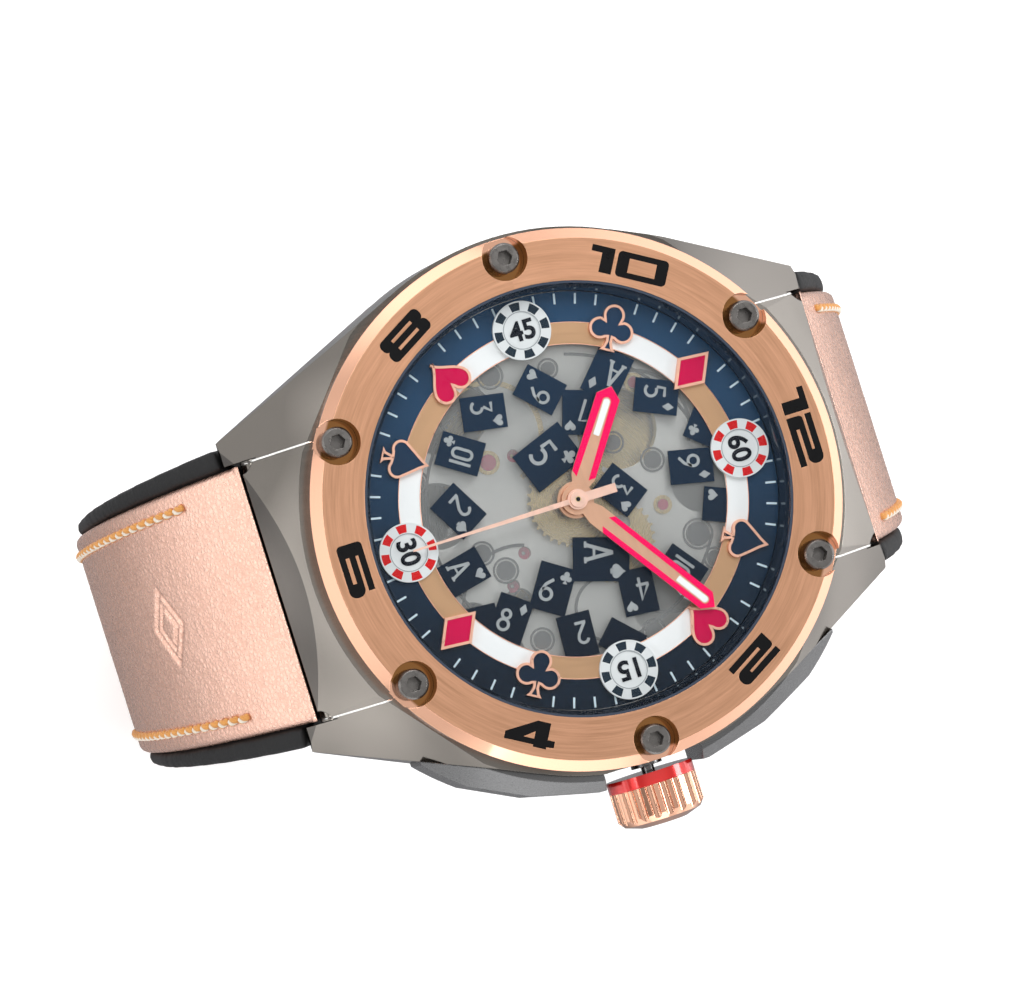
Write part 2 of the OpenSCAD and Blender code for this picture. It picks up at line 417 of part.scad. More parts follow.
module minute_wheel() color([0.85, 0.72, 0.4]) head() translate([minute_p[0], minute_p[1], 0]) {
    slab(-3.36, -3.2) spokes2(2.7, 3) gear2(30, 0.2195, 0.5, 0.85, ph(atan2(minute_p[1], minute_p[0]), 10, 30));
    disc(0.28, -3.85, -3.36, 32);
    slab(-3.2, -2.95) gear2(8, 0.2195, 0.45, 0.85, 0);
}
module hour_wheel() color([0.85, 0.72, 0.4]) head() difference() {
    union() { slab(-3.1, -2.96) gear2(32, 0.2195, 0.5, 0.8, ph(atan2(-minute_p[1], -minute_p[0]), 8, 32)); disc(0.93, -3.02, -1.78, 48); }
    disc(0.66, -10, 0, 48);
}
module rotor() color([0.6, 0.6, 0.62]) head() difference() {
    union() {
        slab(-10.75, -9.95) sector2(11.6, 15.3, 180, 360);
        slab(-10.45, -10.05) sector2(1.9, 11.6, 180, 360);
        slab(-10.45, -10.05) circle(2.6);
    }
    disc(1.0, -20, 0, 48);
    for (i = [0:4]) rotate([0, 0, 198 + 36 * i]) translate([7.4, 0, 0]) disc(1.5, -20, 0, 48);
}
module rotor_bearing() color([0.7, 0.7, 0.72]) head() { disc(0.95, -10.6, -9.5, 48); disc(1.7, -10.75, -10.5, 48); }

// ---- strap ----
module band2(r, c, th0, th1, a0, a1) { translate(c) sector2(r - th1, r - th0, a1, a0); }
module taper(w0, w1, w2) { rotate([90, 0, 0]) linear_extrude(height = 200, center = true)
    polygon([[-w0, 61], [w0, 61], [w0, 58], [w1, 25], [w2, 0], [-w2, 0], [-w1, 25], [-w0, 58]]); }
module bar_hole(y, z, r, w) { translate([0, y, z]) rotate([0, 90, 0]) cylinder(r = r, h = w, center = true, $fn = 48); }
c12 = [-13.5, head_z - 33];
c6 = [-7.3, head_z - 34];
module rubber(r, c, a0, a1) difference() {
    union() {
        intersection() { across(26) band2(r, c, 0.5, strap_t, a0, a1); taper(12.3, 10.2, 9.8); }
        bar_hole(bar_y, head_z - bar_z, 2.15, 2 * lug_x - 0.3);
    }
    // room for the lug ends beside the knuckle
    for (s = [-1, 1]) translate([s * (lug_x - 0.15 + 3), 0, 0]) bar_hole(bar_y, head_z - bar_z, 3.25, 6);
    intersection() { across(26) band2(r, c, -1, leather_t, 50, a1 - 3); taper(10.45, 9.2, 9.0); }
    for (s = [-1, 1]) translate([s * 9.35, 0, 0]) bar_hole(bar_y, head_z - bar_z, 2.3, 2.7);
    bar_hole(bar_y, head_z - bar_z, 0.8, 40);
}
module leather(r, c, a0, a1) intersection() { across(26) band2(r, c, 0, leather_t, a0, a1); taper(10.4, 9.15, 8.95);
    difference() { translate([-20, 0, 0]) cube([40, 60, 80]); bar_hole(bar_y, head_z - bar_z, 2.17, 40); } }
module clip2(r, c, a1) { difference() { band2(r, c, -0.5, strap_t + 0.5, a1 + 3, a1 - 2.2); band2(r, c, -0.02, strap_t + 0.02, a1 + 8, a1); } }
module lug_bars() color([0.6, 0.6, 0.6]) for (s = [-1, 1]) bar_hole(s * bar_y, head_z - bar_z, 0.75, 23.2);
module strap_rubber_12() color([0.05, 0.05, 0.05]) rubber(strap_r12, c12, 34.3, -42.4);
module strap_leather_12() color(rose) leather(strap_r12, c12, 34.3, -42.4);
module strap_rubber_6() color([0.05, 0.05, 0.05]) mirror([0, 1, 0]) rubber(strap_r6, c6, 40.4, -48.4);
module strap_leather_6() color(rose) mirror([0, 1, 0]) leather(strap_r6, c6, 40.4, -48.4);
module strap_end_12() color(steel) {
    difference() {
        union() {
            across(19.9) clip2(strap_r12, c12, -42.4);
            across(14.8) { polygon([[15.14, 4.16], [17.57, 2.5], [18.6, 2.7], [17.9, 4.2], [16.6, 5.6]]); translate([clasp_y, clasp_z]) circle(1.5); }
        }
        translate([0, 0, 0]) across(40) band2(strap_r12, c12, -0.02, strap_t + 0.02, -30, -42.4);
        bar_hole(clasp_y, clasp_z, 0.7, 40);
        for (s = [-1, 1]) translate([s * 8.7, 0, 0]) bar_hole(clasp_y, clasp_z, 1.65, 2.5);
    }
    bar_hole(clasp_y, clasp_z, 0.7, 19.4);
}
module strap_end_6() color(steel) mirror([0, 1, 0]) difference() {
    union() {
        across(19.9) clip2(strap_r6, c6, -48.4);
        across(18) polygon([[-3, 1.7], [17.4, 1.7], [18.6, 2.4], [16.2, 4.6], [15, 2.7], [-3, 2.7]]);
    }
    across(40) band2(strap_r6, c6, -0.02, strap_t + 0.02, -30, -48.4);
    translate([-5, 13.6, 0]) cube([10, 2.8, 3.2]);
}
module clasp_cover() color(steel) difference() {
    union() {
        intersection() {
            slab(0, 1.4) translate([-cover_w / 2, -15.9]) square([cover_w, 31.1]);
            across(30) polygon([[-15.9, 0.5], [-15.4, 0], [14.7, 0], [15.2, 0.5], [15.2, 1.4], [-15.9, 1.4]]);
        }
        translate([-4.6, -15.9, 1.4]) cube([9.2, 1, 1.5]);
        for (s = [-1, 1]) translate([s * 8.7 - 1.1, 0, 0]) { translate([0, 13.9, 1]) cube([2.2, clasp_y - 13.9, clasp_z - 1]); }
        for (s = [-1, 1]) translate([s * 8.7, 0, 0]) bar_hole(clasp_y, clasp_z, 1.5, 2.2);
    }
    bar_hole(clasp_y, clasp_z, 0.75, 40);
}

case_middle();
crown_guard();
bezel();
bezel_numerals();
bezel_screws();
bezel_gasket();
crystal();
crystal_gasket();
rehaut_ring();
caseback_ring();
caseback_glass();
caseback_gasket();
crown_tube();
setting_slide();
winding_stem();
crown();
crown_ring();
chapter_ring();
minute_ticks();
white_segments();
copper_segments();
dial_disc();
card_tiles();
chips();
chip_red_inlays();
chip_navy_inlays();
chip_numerals();
marker_frames();
marker_navy_fills();
marker_red_fills();
movement_ring();
main_plate();
barrel_bridge();
train_bridge();
balance_cock();
bridge_screws();
jewels();
mainspring_barrel();
centre_wheel();
third_wheel();
seconds_wheel();
escape_wheel();
pallet_fork();
balance_wheel();
hairspring();
minute_wheel();
hour_wheel();
rotor();
rotor_bearing();
hour_hand();
minute_hand();
second_hand();
lug_bars();
strap_rubber_12();
strap_leather_12();
strap_end_12();
strap_rubber_6();
strap_leather_6();
strap_end_6();
clasp_cover();
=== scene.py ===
import json
import math
import random

import bmesh
import bpy
from mathutils import Matrix, Vector, noise
from mathutils.bvhtree import BVHTree

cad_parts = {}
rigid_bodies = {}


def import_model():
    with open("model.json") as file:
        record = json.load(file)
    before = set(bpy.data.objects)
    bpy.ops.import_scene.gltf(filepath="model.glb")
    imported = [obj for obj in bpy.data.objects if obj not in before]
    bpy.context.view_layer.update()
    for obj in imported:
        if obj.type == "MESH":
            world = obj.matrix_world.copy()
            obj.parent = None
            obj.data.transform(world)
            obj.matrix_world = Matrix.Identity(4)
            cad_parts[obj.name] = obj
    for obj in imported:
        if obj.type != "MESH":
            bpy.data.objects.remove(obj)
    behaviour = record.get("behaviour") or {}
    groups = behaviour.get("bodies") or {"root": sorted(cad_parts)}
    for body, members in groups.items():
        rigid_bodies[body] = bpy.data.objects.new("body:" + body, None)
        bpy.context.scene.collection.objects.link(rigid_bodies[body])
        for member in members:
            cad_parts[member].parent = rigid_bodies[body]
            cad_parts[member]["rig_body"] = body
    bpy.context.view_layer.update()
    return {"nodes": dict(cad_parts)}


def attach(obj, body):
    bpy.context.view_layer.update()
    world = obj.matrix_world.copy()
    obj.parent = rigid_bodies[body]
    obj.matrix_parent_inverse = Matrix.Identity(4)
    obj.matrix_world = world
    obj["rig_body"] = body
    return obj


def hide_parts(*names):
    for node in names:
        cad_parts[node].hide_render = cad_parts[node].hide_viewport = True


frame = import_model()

N = frame["nodes"]
MM = 0.001
HEAD = 67.0
random.seed(7)


# ---------------------------------------------------------------- materials
class Mat:
    def __init__(self, name):
        self.m = bpy.data.materials.new(name)
        self.m.use_nodes = True
        self.nt = self.m.node_tree
        self.b = self.nt.nodes["Principled BSDF"]
        self.out = self.nt.nodes["Material Output"]
        self.obj = self.add("ShaderNodeTexCoord").outputs["Object"]

    def add(self, kind, **kw):
        n = self.nt.nodes.new(kind)
        for k, v in kw.items():
            setattr(n, k, v)
        return n

    def link(self, a, b):
        self.nt.links.new(a, b)
        return b

    def set(self, **kw):
        names = {"color": "Base Color", "metal": "Metallic", "rough": "Roughness", "ior": "IOR", "coat": "Coat Weight",
                 "coat_rough": "Coat Roughness", "spec": "Specular IOR Level", "aniso": "Anisotropic", "alpha": "Alpha",
                 "sheen": "Sheen Weight", "sheen_rough": "Sheen Roughness", "emit": "Emission Strength", "emit_color": "Emission Color",
                 "trans": "Transmission Weight", "sub": "Subsurface Weight", "coat_ior": "Coat IOR", "sheen_tint": "Sheen Tint"}
        for k, v in kw.items():
            s = self.b.inputs[names[k]]
            s.default_value = (*v, 1.0) if isinstance(v, tuple) and len(v) == 3 else v
        return self

    def scaled(self, sx, sy, sz, src=None):
        n = self.add("ShaderNodeVectorMath", operation="MULTIPLY")
        self.link(src or self.obj, n.inputs[0])
        n.inputs[1].default_value = (sx, sy, sz)
        return n.outputs[0]

    def polar(self, sr, sa, sz):
        s = self.add("ShaderNodeSeparateXYZ")
        self.link(self.obj, s.inputs[0])
        a = self.math("ARCTAN2", s.outputs[1], s.outputs[0])
        c = self.add("ShaderNodeCombineXYZ")
        xx = self.math("MULTIPLY", s.outputs[0], s.outputs[0])
        yy = self.math("MULTIPLY", s.outputs[1], s.outputs[1])
        r = self.math("SQRT", self.math("ADD", xx, yy))
        self.link(self.math("MULTIPLY", r, sr), c.inputs[0])
        self.link(self.math("MULTIPLY", a, sa), c.inputs[1])
        self.link(self.math("MULTIPLY", s.outputs[2], sz), c.inputs[2])
        return c.outputs[0]

    def math(self, op, a, b=None, clamp=False):
        n = self.add("ShaderNodeMath", operation=op, use_clamp=clamp)
        for i, v in enumerate((a, b)):
            if v is None:
                continue
            if isinstance(v, (int, float)):
                n.inputs[i].default_value = v
            else:
                self.link(v, n.inputs[i])
        return n.outputs[0]

    def axis(self, i, src=None):
        s = self.add("ShaderNodeSeparateXYZ")
        self.link(src or self.obj, s.inputs[0])
        return s.outputs[i]

    def noise(self, vec, scale=1.0, detail=3.0, rough=0.5):
        n = self.add("ShaderNodeTexNoise")
        self.link(vec, n.inputs["Vector"])
        n.inputs["Scale"].default_value = scale
        n.inputs["Detail"].default_value = detail
        n.inputs["Roughness"].default_value = rough
        return n.outputs["Fac"]

    def voronoi(self, vec, scale=1.0, feature="F1"):
        n = self.add("ShaderNodeTexVoronoi", feature=feature)
        self.link(vec, n.inputs["Vector"])
        n.inputs["Scale"].default_value = scale
        return n.outputs["Distance"]

    def remap(self, v, a, b, c, d, smooth=False):
        n = self.add("ShaderNodeMapRange")
        if smooth:
            n.interpolation_type = "SMOOTHSTEP"
        self.link(v, n.inputs["Value"])
        for k, x in zip(("From Min", "From Max", "To Min", "To Max"), (a, b, c, d)):
            n.inputs[k].default_value = x
        return n.outputs["Result"]

    def mix(self, fac, a, b):
        n = self.add("ShaderNodeMix", data_type="RGBA")
        if isinstance(fac, (int, float)):
            n.inputs["Factor"].default_value = fac
        else:
            self.link(fac, n.inputs["Factor"])
        for s, v in ((n.inputs[6], a), (n.inputs[7], b)):
            if isinstance(v, tuple):
                s.default_value = (*v, 1.0)
            else:
                self.link(v, s)
        return n.outputs[2]

    def bump(self, height, strength, dist, after=None):
        n = self.add("ShaderNodeBump")
        n.inputs["Strength"].default_value = strength
        n.inputs["Distance"].default_value = dist
        self.link(height, n.inputs["Height"])
        if after is not None:
            self.link(after, n.inputs["Normal"])
        return n.outputs["Normal"]

    def soft_edge(self, radius):
        n = self.add("ShaderNodeBevel", samples=4)
        n.inputs["Radius"].default_value = radius
        return n.outputs[0]

    def color(self, src):
        self.link(src, self.b.inputs["Base Color"])

    def rough(self, src):
        self.link(src, self.b.inputs["Roughness"])

    def normal(self, src):
        self.link(src, self.b.inputs["Normal"])


def dim(c, k):
    return tuple(min(1.0, x * k) for x in c)


def brushed(name, color, rough, way="y", fine=9000.0, long=220.0, edge=0.00007, aniso=0.55, spread=0.16, broad=0.0):
    m = Mat(name).set(color=color, metal=1.0, rough=rough, aniso=aniso)
    if way == "ring":
        vec = m.polar(fine, 4.0, fine)
        tan = m.add("ShaderNodeTangent", direction_type="RADIAL", axis="Z")
        m.link(tan.outputs[0], m.b.inputs["Tangent"])
    else:
        s = {"x": (long, fine, fine), "y": (fine, long, fine), "z": (fine, fine, long)}[way]
        vec = m.scaled(*s)
        tan = m.add("ShaderNodeTangent", direction_type="RADIAL", axis={"x": "Y", "y": "X", "z": "X"}[way])
    f = m.noise(vec, 1.0, 3.0, 0.6)
    wide = m.noise(m.scaled(160, 160, 160), 1.0, 2.0, 0.5)
    tone = m.mix(m.math("MULTIPLY", m.math("ADD", f, m.math("MULTIPLY", wide, 0.6)), 0.62), dim(color, 1 - spread), dim(color, 1 + spread))
    if broad:
        soft = m.remap(m.noise(m.scaled(75, 75, 75), 1.0, 1.0, 0.4), 0.36, 0.64, 0.0, 1.0)
        low = m.mix(m.math("MULTIPLY", m.math("ADD", f, m.math("MULTIPLY", wide, 0.6)), 0.62), dim(color, 1 - spread - broad), dim(color, 1 - broad))
        tone = m.mix(soft, low, tone)
    m.color(tone)
    m.rough(m.remap(f, 0.3, 0.7, rough * 0.82, rough * 1.22))
    m.normal(m.bump(f, 0.07, 0.00002, m.soft_edge(edge)))
    return m


def polished(name, color, rough=0.09, edge=0.00008, spread=0.05):
    m = Mat(name).set(color=color, metal=1.0, rough=rough)
    f = m.noise(m.scaled(420, 420, 420), 1.0, 3.0, 0.55)
    m.color(m.mix(f, dim(color, 1 - spread), dim(color, 1 + spread)))
    m.rough(m.remap(m.noise(m.scaled(2500, 2500, 2500), 1.0, 2.0), 0.3, 0.7, rough * 0.7, rough * 1.5))
    m.normal(m.soft_edge(edge))
    return m


def enamel(name, color, rough=0.22, coat=0.6, grain=1500.0, spread=0.06, spec=0.5, coat_rough=0.06):
    m = Mat(name).set(color=color, metal=0.0, rough=rough, coat=coat, coat_rough=coat_rough, spec=spec)
    f = m.noise(m.scaled(grain, grain, grain), 1.0, 3.0, 0.6)
    m.color(m.mix(f, dim(color, 1 - spread), dim(color, 1 + spread)))
    m.rough(m.remap(f, 0.3, 0.7, rough * 0.85, rough * 1.2))
    m.normal(m.bump(f, 0.06, 0.00002))
    return m


ROSE = (0.80, 0.405, 0.245)
ROSE_PALE = (0.86, 0.47, 0.32)
STEEL = (0.315, 0.288, 0.258)

mats = {}

# bezel: satin top with rings, polished chamfer, sides and screw recesses; the screw recesses carry painted shade,
# coloured dark brown
m = Mat("bezel_rose_gold").set(color=ROSE, metal=1.0, rough=0.3)
fine = m.noise(m.polar(8500.0, 5.0, 8500.0), 1.0, 4.0, 0.62)
bands = m.noise(m.polar(1500.0, 2.0, 1500.0), 1.0, 2.0, 0.5)
top = m.remap(m.axis(2), (HEAD - 0.03) * MM, (HEAD - 0.012) * MM, 0.0, 1.0)
grain = m.math("ADD", m.math("MULTIPLY", fine, 0.65), m.math("MULTIPLY", bands, 0.35))
satin = m.mix(m.remap(grain, 0.32, 0.68, 0.0, 1.0), (0.52, 0.272, 0.156), (0.69, 0.370, 0.228))
reach = m.math("SQRT", m.math("ADD", m.math("MULTIPLY", m.axis(0), m.axis(0)), m.math("MULTIPLY", m.axis(1), m.axis(1))))
# painted shade: below the top face the screw recesses are coloured dark brown
recess_painted_shade = m.math("MULTIPLY", m.remap(reach, 0.01655, 0.01675, 0.0, 1.0), m.remap(reach, 0.0203, 0.0205, 1.0, 0.0))
recess_painted_shade = m.math("MULTIPLY", recess_painted_shade, m.remap(m.axis(2), (HEAD - 0.5) * MM, (HEAD - 0.2) * MM, 1.0, 0.0))
m.color(m.mix(recess_painted_shade, m.mix(top, (0.90, 0.50, 0.34), satin), (0.30, 0.135, 0.045)))
m.rough(m.math("ADD", m.math("MULTIPLY", top, m.remap(fine, 0.3, 0.7, 0.24, 0.34)), 0.085))
m.normal(m.bump(m.math("MULTIPLY", grain, top), 0.22, 0.00002, m.soft_edge(0.00006)))
mats["bezel"] = m

mats["case_steel"] = brushed("case_steel", STEEL, 0.22, "y", fine=9000.0, long=150.0, spread=0.14, edge=0.00005, broad=0.48, aniso=0.35)
mats["dark_steel"] = brushed("dark_steel", (0.16, 0.16, 0.162), 0.26, "y", spread=0.2, edge=0.00012)
mats["screw_steel"] = polished("screw_steel", (0.17, 0.16, 0.152), 0.3, edge=0.00009, spread=0.2)
mats["clasp_steel"] = brushed("clasp_steel", (0.36, 0.345, 0.33), 0.3, "x", fine=7000.0, long=240.0)
mats["plain_steel"] = polished("plain_steel", (0.55, 0.54, 0.53), 0.22)
mats["rotor_steel"] = brushed("rotor_steel", (0.52, 0.51, 0.50), 0.28, "ring")
mats["rose_gold"] = polished("rose_gold", ROSE_PALE, 0.1)
mats["copper_band"] = brushed("copper_band", (0.58, 0.345, 0.195), 0.4, "ring", fine=5000.0, aniso=0.0, spread=0.08, edge=0.00003)
mats["hand_copper"] = brushed("hand_copper", (0.80, 0.455, 0.30), 0.34, "x", fine=6000.0, long=600.0, aniso=0.0, spread=0.08, edge=0.00003)
mats["marker_copper"] = polished("marker_copper", (0.90, 0.50, 0.36), 0.38, edge=0.00002, spread=0.06)
mats["second_copper"] = polished("second_copper", (0.92, 0.60, 0.48), 0.42, edge=0.00001, spread=0.04)
mats["gilt_brass"] = brushed("gilt_brass", (0.78, 0.58, 0.27), 0.28, "ring")
mats["nickel_plate"] = brushed("nickel_plate", (0.78, 0.76, 0.72), 0.45, "x", fine=4200.0, long=300.0)
mats["blued_steel"] = polished("blued_steel", (0.05, 0.09, 0.42), 0.15)
mats["ruby"] = enamel("ruby", (0.55, 0.01, 0.09), 0.08, 1.0)
mats["black_inlay"] = enamel("black_inlay", (0.0025, 0.0025, 0.003), 0.3, 0.0, spec=0.16)
mats["white_enamel"] = enamel("white_enamel", (0.84, 0.84, 0.83), 0.5, 0.0, spread=0.015, spec=0.3)
mats["chip_white"] = enamel("chip_white", (0.70, 0.71, 0.705), 0.5, 0.0, spread=0.03, spec=0.3)
mats["red_enamel"] = enamel("red_enamel", (0.60, 0.0, 0.065), 0.3, 0.0, spec=0.18)
mats["chip_red"] = enamel("chip_red", (0.62, 0.008, 0.010), 0.3, 0.0, spec=0.2)
mats["chip_navy"] = enamel("chip_navy", (0.010, 0.022, 0.036), 0.35, 0.0, spec=0.2)
mats["hand_pink"] = enamel("hand_pink", (0.93, 0.0, 0.10), 0.35, 0.0, spec=0.15)
mats["lume"] = enamel("lume", (0.86, 0.87, 0.84), 0.6, 0.0, grain=5200.0)
mats["pale_print"] = enamel("pale_print", (0.62, 0.74, 0.80), 0.45, 0.0)
mats["card_print"] = enamel("card_print", (0.36, 0.38, 0.385), 0.36, 0.1, spread=0.2)
mats["card_print"].set(metal=0.45)
mats["white_gasket"] = enamel("crystal_seal", (0.020, 0.034, 0.062), 0.16, 0.6)
mats["chip_line"] = enamel("chip_line", (0.30, 0.32, 0.33), 0.45, 0.0)
mats["gasket_rubber"] = enamel("gasket_rubber", (0.012, 0.012, 0.013), 0.5, 0.0)
mats["numeral_black"] = enamel("numeral_black", (0.006, 0.008, 0.014), 0.4, 0.0, spec=0.15)

# anodised ring under the crown
m = Mat("red_anodised").set(color=(0.72, 0.012, 0.012), metal=0.35, rough=0.18, coat=0.8, coat_rough=0.05)
f = m.noise(m.scaled(900, 900, 900), 1.0, 3.0)
m.color(m.mix(f, (0.60, 0.006, 0.008), (0.80, 0.022, 0.016)))
m.normal(m.soft_edge(0.00012))
mats["red_anodised"] = m


# lacquered dial ring: deep blue that runs to near black towards the crown side; this run is a painted reflection,
# lighter away from the crown and painted shade towards it
def lacquer(name, light, dark, rough):
    m = Mat(name).set(metal=0.0, rough=rough, coat=0.12, coat_rough=0.05, spec=0.16)
    s = m.add("ShaderNodeSeparateXYZ")
    m.link(m.obj, s.inputs[0])
    t = m.math("ADD", m.math("MULTIPLY", s.outputs[0], 0.9), m.math("MULTIPLY", s.outputs[1], -0.25))
    # painted reflection and shade: the lit blue away from the crown runs to the shaded blue towards it
    g = m.remap(t, -0.013, 0.0135, 0.0, 1.0, True)
    f = m.noise(m.polar(3000.0, 60.0, 3000.0), 1.0, 3.0, 0.6)
    base = m.mix(g, light, dark)
    m.color(m.mix(m.remap(f, 0.3, 0.7, 0.0, 0.16), base, dim(light, 1.25)))
    m.rough(m.remap(f, 0.3, 0.7, rough * 0.8, rough * 1.25))
    m.normal(m.bump(f, 0.05, 0.00002))
    return m


mats["navy_paint"] = lacquer("navy_paint", (0.016, 0.056, 0.120), (0.0022, 0.0065, 0.014), 0.3)
mats["marker_navy"] = lacquer("marker_navy", (0.010, 0.034, 0.078), (0.004, 0.012, 0.028), 0.34)
mats["tile_navy"] = lacquer("tile_navy", (0.0075, 0.024, 0.052), (0.0022, 0.0055, 0.012), 0.2)
mats["rehaut"] = lacquer("rehaut", (0.018, 0.034, 0.060), (0.006, 0.011, 0.020), 0.12)

# frosted, half clear disc over the movement
m = Mat("frosted_disc").set(metal=0.0, rough=0.42, spec=0.2, alpha=0.25)
f = m.noise(m.scaled(260, 260, 260), 1.0, 4.0, 0.6)
g = m.noise(m.scaled(9000, 9000, 9000), 1.0, 2.0, 0.6)
m.color(m.mix(m.math("MULTIPLY", m.math("ADD", f, m.math("MULTIPLY", g, 0.25)), 0.8), (0.36, 0.37, 0.37), (0.52, 0.515, 0.495)))
m.normal(m.bump(g, 0.08, 0.00002))
mats["frosted_disc"] = m


# sapphire: clear, with a faint reflection that grows at grazing angles
def glass(name, tint, strength):
    m = Mat(name)
    m.nt.nodes.remove(m.b)
    tr = m.add("ShaderNodeBsdfTransparent")
    tr.inputs["Color"].default_value = (*tint, 1.0)
    gl = m.add("ShaderNodeBsdfGlossy")
    gl.inputs["Color"].default_value = (0.92, 0.96, 1.0, 1.0)
    fr = m.add("ShaderNodeFresnel")
    fr.inputs["IOR"].default_value = 1.45
    mx = m.add("ShaderNodeMixShader")
    sm = m.noise(m.scaled(90, 90, 90), 1.0, 2.0)
    m.link(m.remap(sm, 0.3, 0.7, 0.015, 0.03), gl.inputs["Roughness"])
    m.link(m.math("MULTIPLY", fr.outputs[0], strength, True), mx.inputs[0])
    m.link(tr.outputs[0], mx.inputs[1])
    m.link(gl.outputs[0], mx.inputs[2])
    m.link(mx.outputs[0], m.out.inputs["Surface"])
    return m


mats["sapphire"] = glass("sapphire", (0.985, 0.995, 1.0), 0.16)
mats["back_glass"] = glass("back_glass", (0.95, 0.97, 0.98), 0.8)

# moulded rubber
m = Mat("black_rubber").set(metal=0.0, rough=0.5, spec=0.2)
f = m.noise(m.scaled(5200, 5200, 5200), 1.0, 4.0, 0.6)
w = m.noise(m.scaled(140, 140, 140), 1.0, 3.0, 0.5)
m.color(m.mix(w, (0.007, 0.007, 0.0075), (0.018, 0.018, 0.019)))
m.rough(m.remap(m.math("ADD", f, w), 0.6, 1.4, 0.36, 0.62))
m.normal(m.bump(f, 0.25, 0.00004))
mats["black_rubber"] = m

# metallic leather, pebbled
m = Mat("rose_leather").set(metal=0.80, rough=0.34, spec=0.5, coat=0.10, coat_rough=0.25)
cell = m.voronoi(m.scaled(2600, 2600, 2600), 1.0, "DISTANCE_TO_EDGE")
pore = m.noise(m.scaled(7000, 7000, 7000), 1.0, 3.0, 0.6)
hue = m.noise(m.scaled(170, 170, 170), 1.0, 4.0, 0.6)
crease = m.remap(cell, 0.0, 0.22, 0.0, 1.0)
att = m.add("ShaderNodeAttribute", attribute_name="pebble")
low = m.remap(att.outputs["Fac"], 0.0, 0.55, 0.0, 1.0)
tone = m.mix(hue, (0.80, 0.485, 0.375), (0.91, 0.590, 0.475))
tone = m.mix(m.math("MULTIPLY", m.math("SUBTRACT", 1.0, low), 0.18), tone, (0.58, 0.30, 0.21))
m.color(m.mix(m.math("MULTIPLY", m.math("SUBTRACT", 1.0, crease), 0.30), tone, (0.50, 0.26, 0.18)))
m.rough(m.remap(m.math("ADD", pore, low), 0.5, 1.6, 0.36, 0.20))
m.normal(m.bump(m.math("ADD", m.math("MULTIPLY", crease, 0.5), m.math("MULTIPLY", pore, 0.6)), 0.45, 0.00006))
mats["rose_leather"] = m

m = Mat("leather_edge").set(metal=0.25, rough=0.5, spec=0.4)
f = m.noise(m.scaled(3000, 3000, 3000), 1.0, 4.0, 0.65)
m.color(m.mix(f, (0.42, 0.21, 0.14), (0.66, 0.38, 0.28)))
m.normal(m.bump(f, 0.3, 0.00005))
mats["leather_edge"] = m


def thread(name, a, b):
    m = Mat(name).set(metal=0.0, rough=0.55, sheen=0.35, sheen_rough=0.4, spec=0.4)
    f = m.noise(m.scaled(9000, 9000, 9000), 1.0, 3.0, 0.7)
    m.color(m.mix(f, a, b))
    m.normal(m.bump(f, 0.4, 0.00003))
    return m


mats["thread_gold"] = thread("thread_gold", (0.46, 0.175, 0.035), (0.80, 0.40, 0.11))
mats["thread_cream"] = thread("thread_cream", (0.66, 0.58, 0.47), (0.90, 0.84, 0.74))

# which material each CAD node takes
USE = {
    "case_middle": "case_steel", "crown_guard": "dark_steel", "bezel": "bezel", "bezel_numerals": "black_inlay",
    "bezel_screws": "screw_steel", "bezel_gasket": "gasket_rubber", "crystal": "sapphire", "crystal_gasket": "white_gasket",
    "rehaut_ring": "rehaut", "caseback_ring": "case_steel", "caseback_glass": "back_glass", "caseback_gasket": "gasket_rubber",
    "crown_tube": "dark_steel", "setting_slide": "plain_steel", "winding_stem": "dark_steel", "crown": "rose_gold",
    "crown_ring": "red_anodised", "chapter_ring": "navy_paint", "minute_ticks": "pale_print", "white_segments": "white_enamel",
    "copper_segments": "copper_band", "dial_disc": "frosted_disc", "card_tiles": "tile_navy", "chips": "chip_white",
    "chip_red_inlays": "chip_red", "chip_navy_inlays": "chip_navy", "chip_numerals": "numeral_black", "marker_frames": "marker_copper",
    "marker_navy_fills": "marker_navy", "marker_red_fills": "red_enamel", "movement_ring": "plain_steel", "main_plate": "nickel_plate",
    "barrel_bridge": "nickel_plate", "train_bridge": "nickel_plate", "balance_cock": "nickel_plate", "bridge_screws": "blued_steel",
    "jewels": "ruby", "mainspring_barrel": "gilt_brass", "centre_wheel": "gilt_brass", "third_wheel": "gilt_brass",
    "seconds_wheel": "gilt_brass", "escape_wheel": "plain_steel", "pallet_fork": "plain_steel", "balance_wheel": "gilt_brass",
    "hairspring": "blued_steel", "minute_wheel": "gilt_brass", "hour_wheel": "gilt_brass", "rotor": "rotor_steel",
    "rotor_bearing": "plain_steel", "hour_hand": "hand_copper", "minute_hand": "hand_copper", "second_hand": "second_copper",
    "lug_bars": "dark_steel", "strap_end_12": "clasp_steel", "strap_end_6": "clasp_steel", "clasp_cover": "clasp_steel",
}
for node, name in USE.items():
    o = N[node]
    o.data.materials.clear()
    o.data.materials.append(mats[name].m)


def body_of(node):
    return frame["nodes"][node]["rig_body"]


# ---------------------------------------------------------------- mesh helpers
def new_object(name, verts, faces, mat, body, smooth=True, scale=MM):
    me = bpy.data.meshes.new(name)
    me.from_pydata([tuple(c * scale for c in v) for v in verts], [], faces)
    me.validate()
    for p in me.polygons:
        p.use_smooth = smooth
    me.materials.append(mats[mat].m if isinstance(mat, str) else mat)
    o = bpy.data.objects.new(name, me)
    bpy.context.scene.collection.objects.link(o)
    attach(o, body)
    return o


def area2(p):
    return sum(p[i][0] * p[(i + 1) % len(p)][1] - p[(i + 1) % len(p)][0] * p[i][1] for i in range(len(p))) / 2


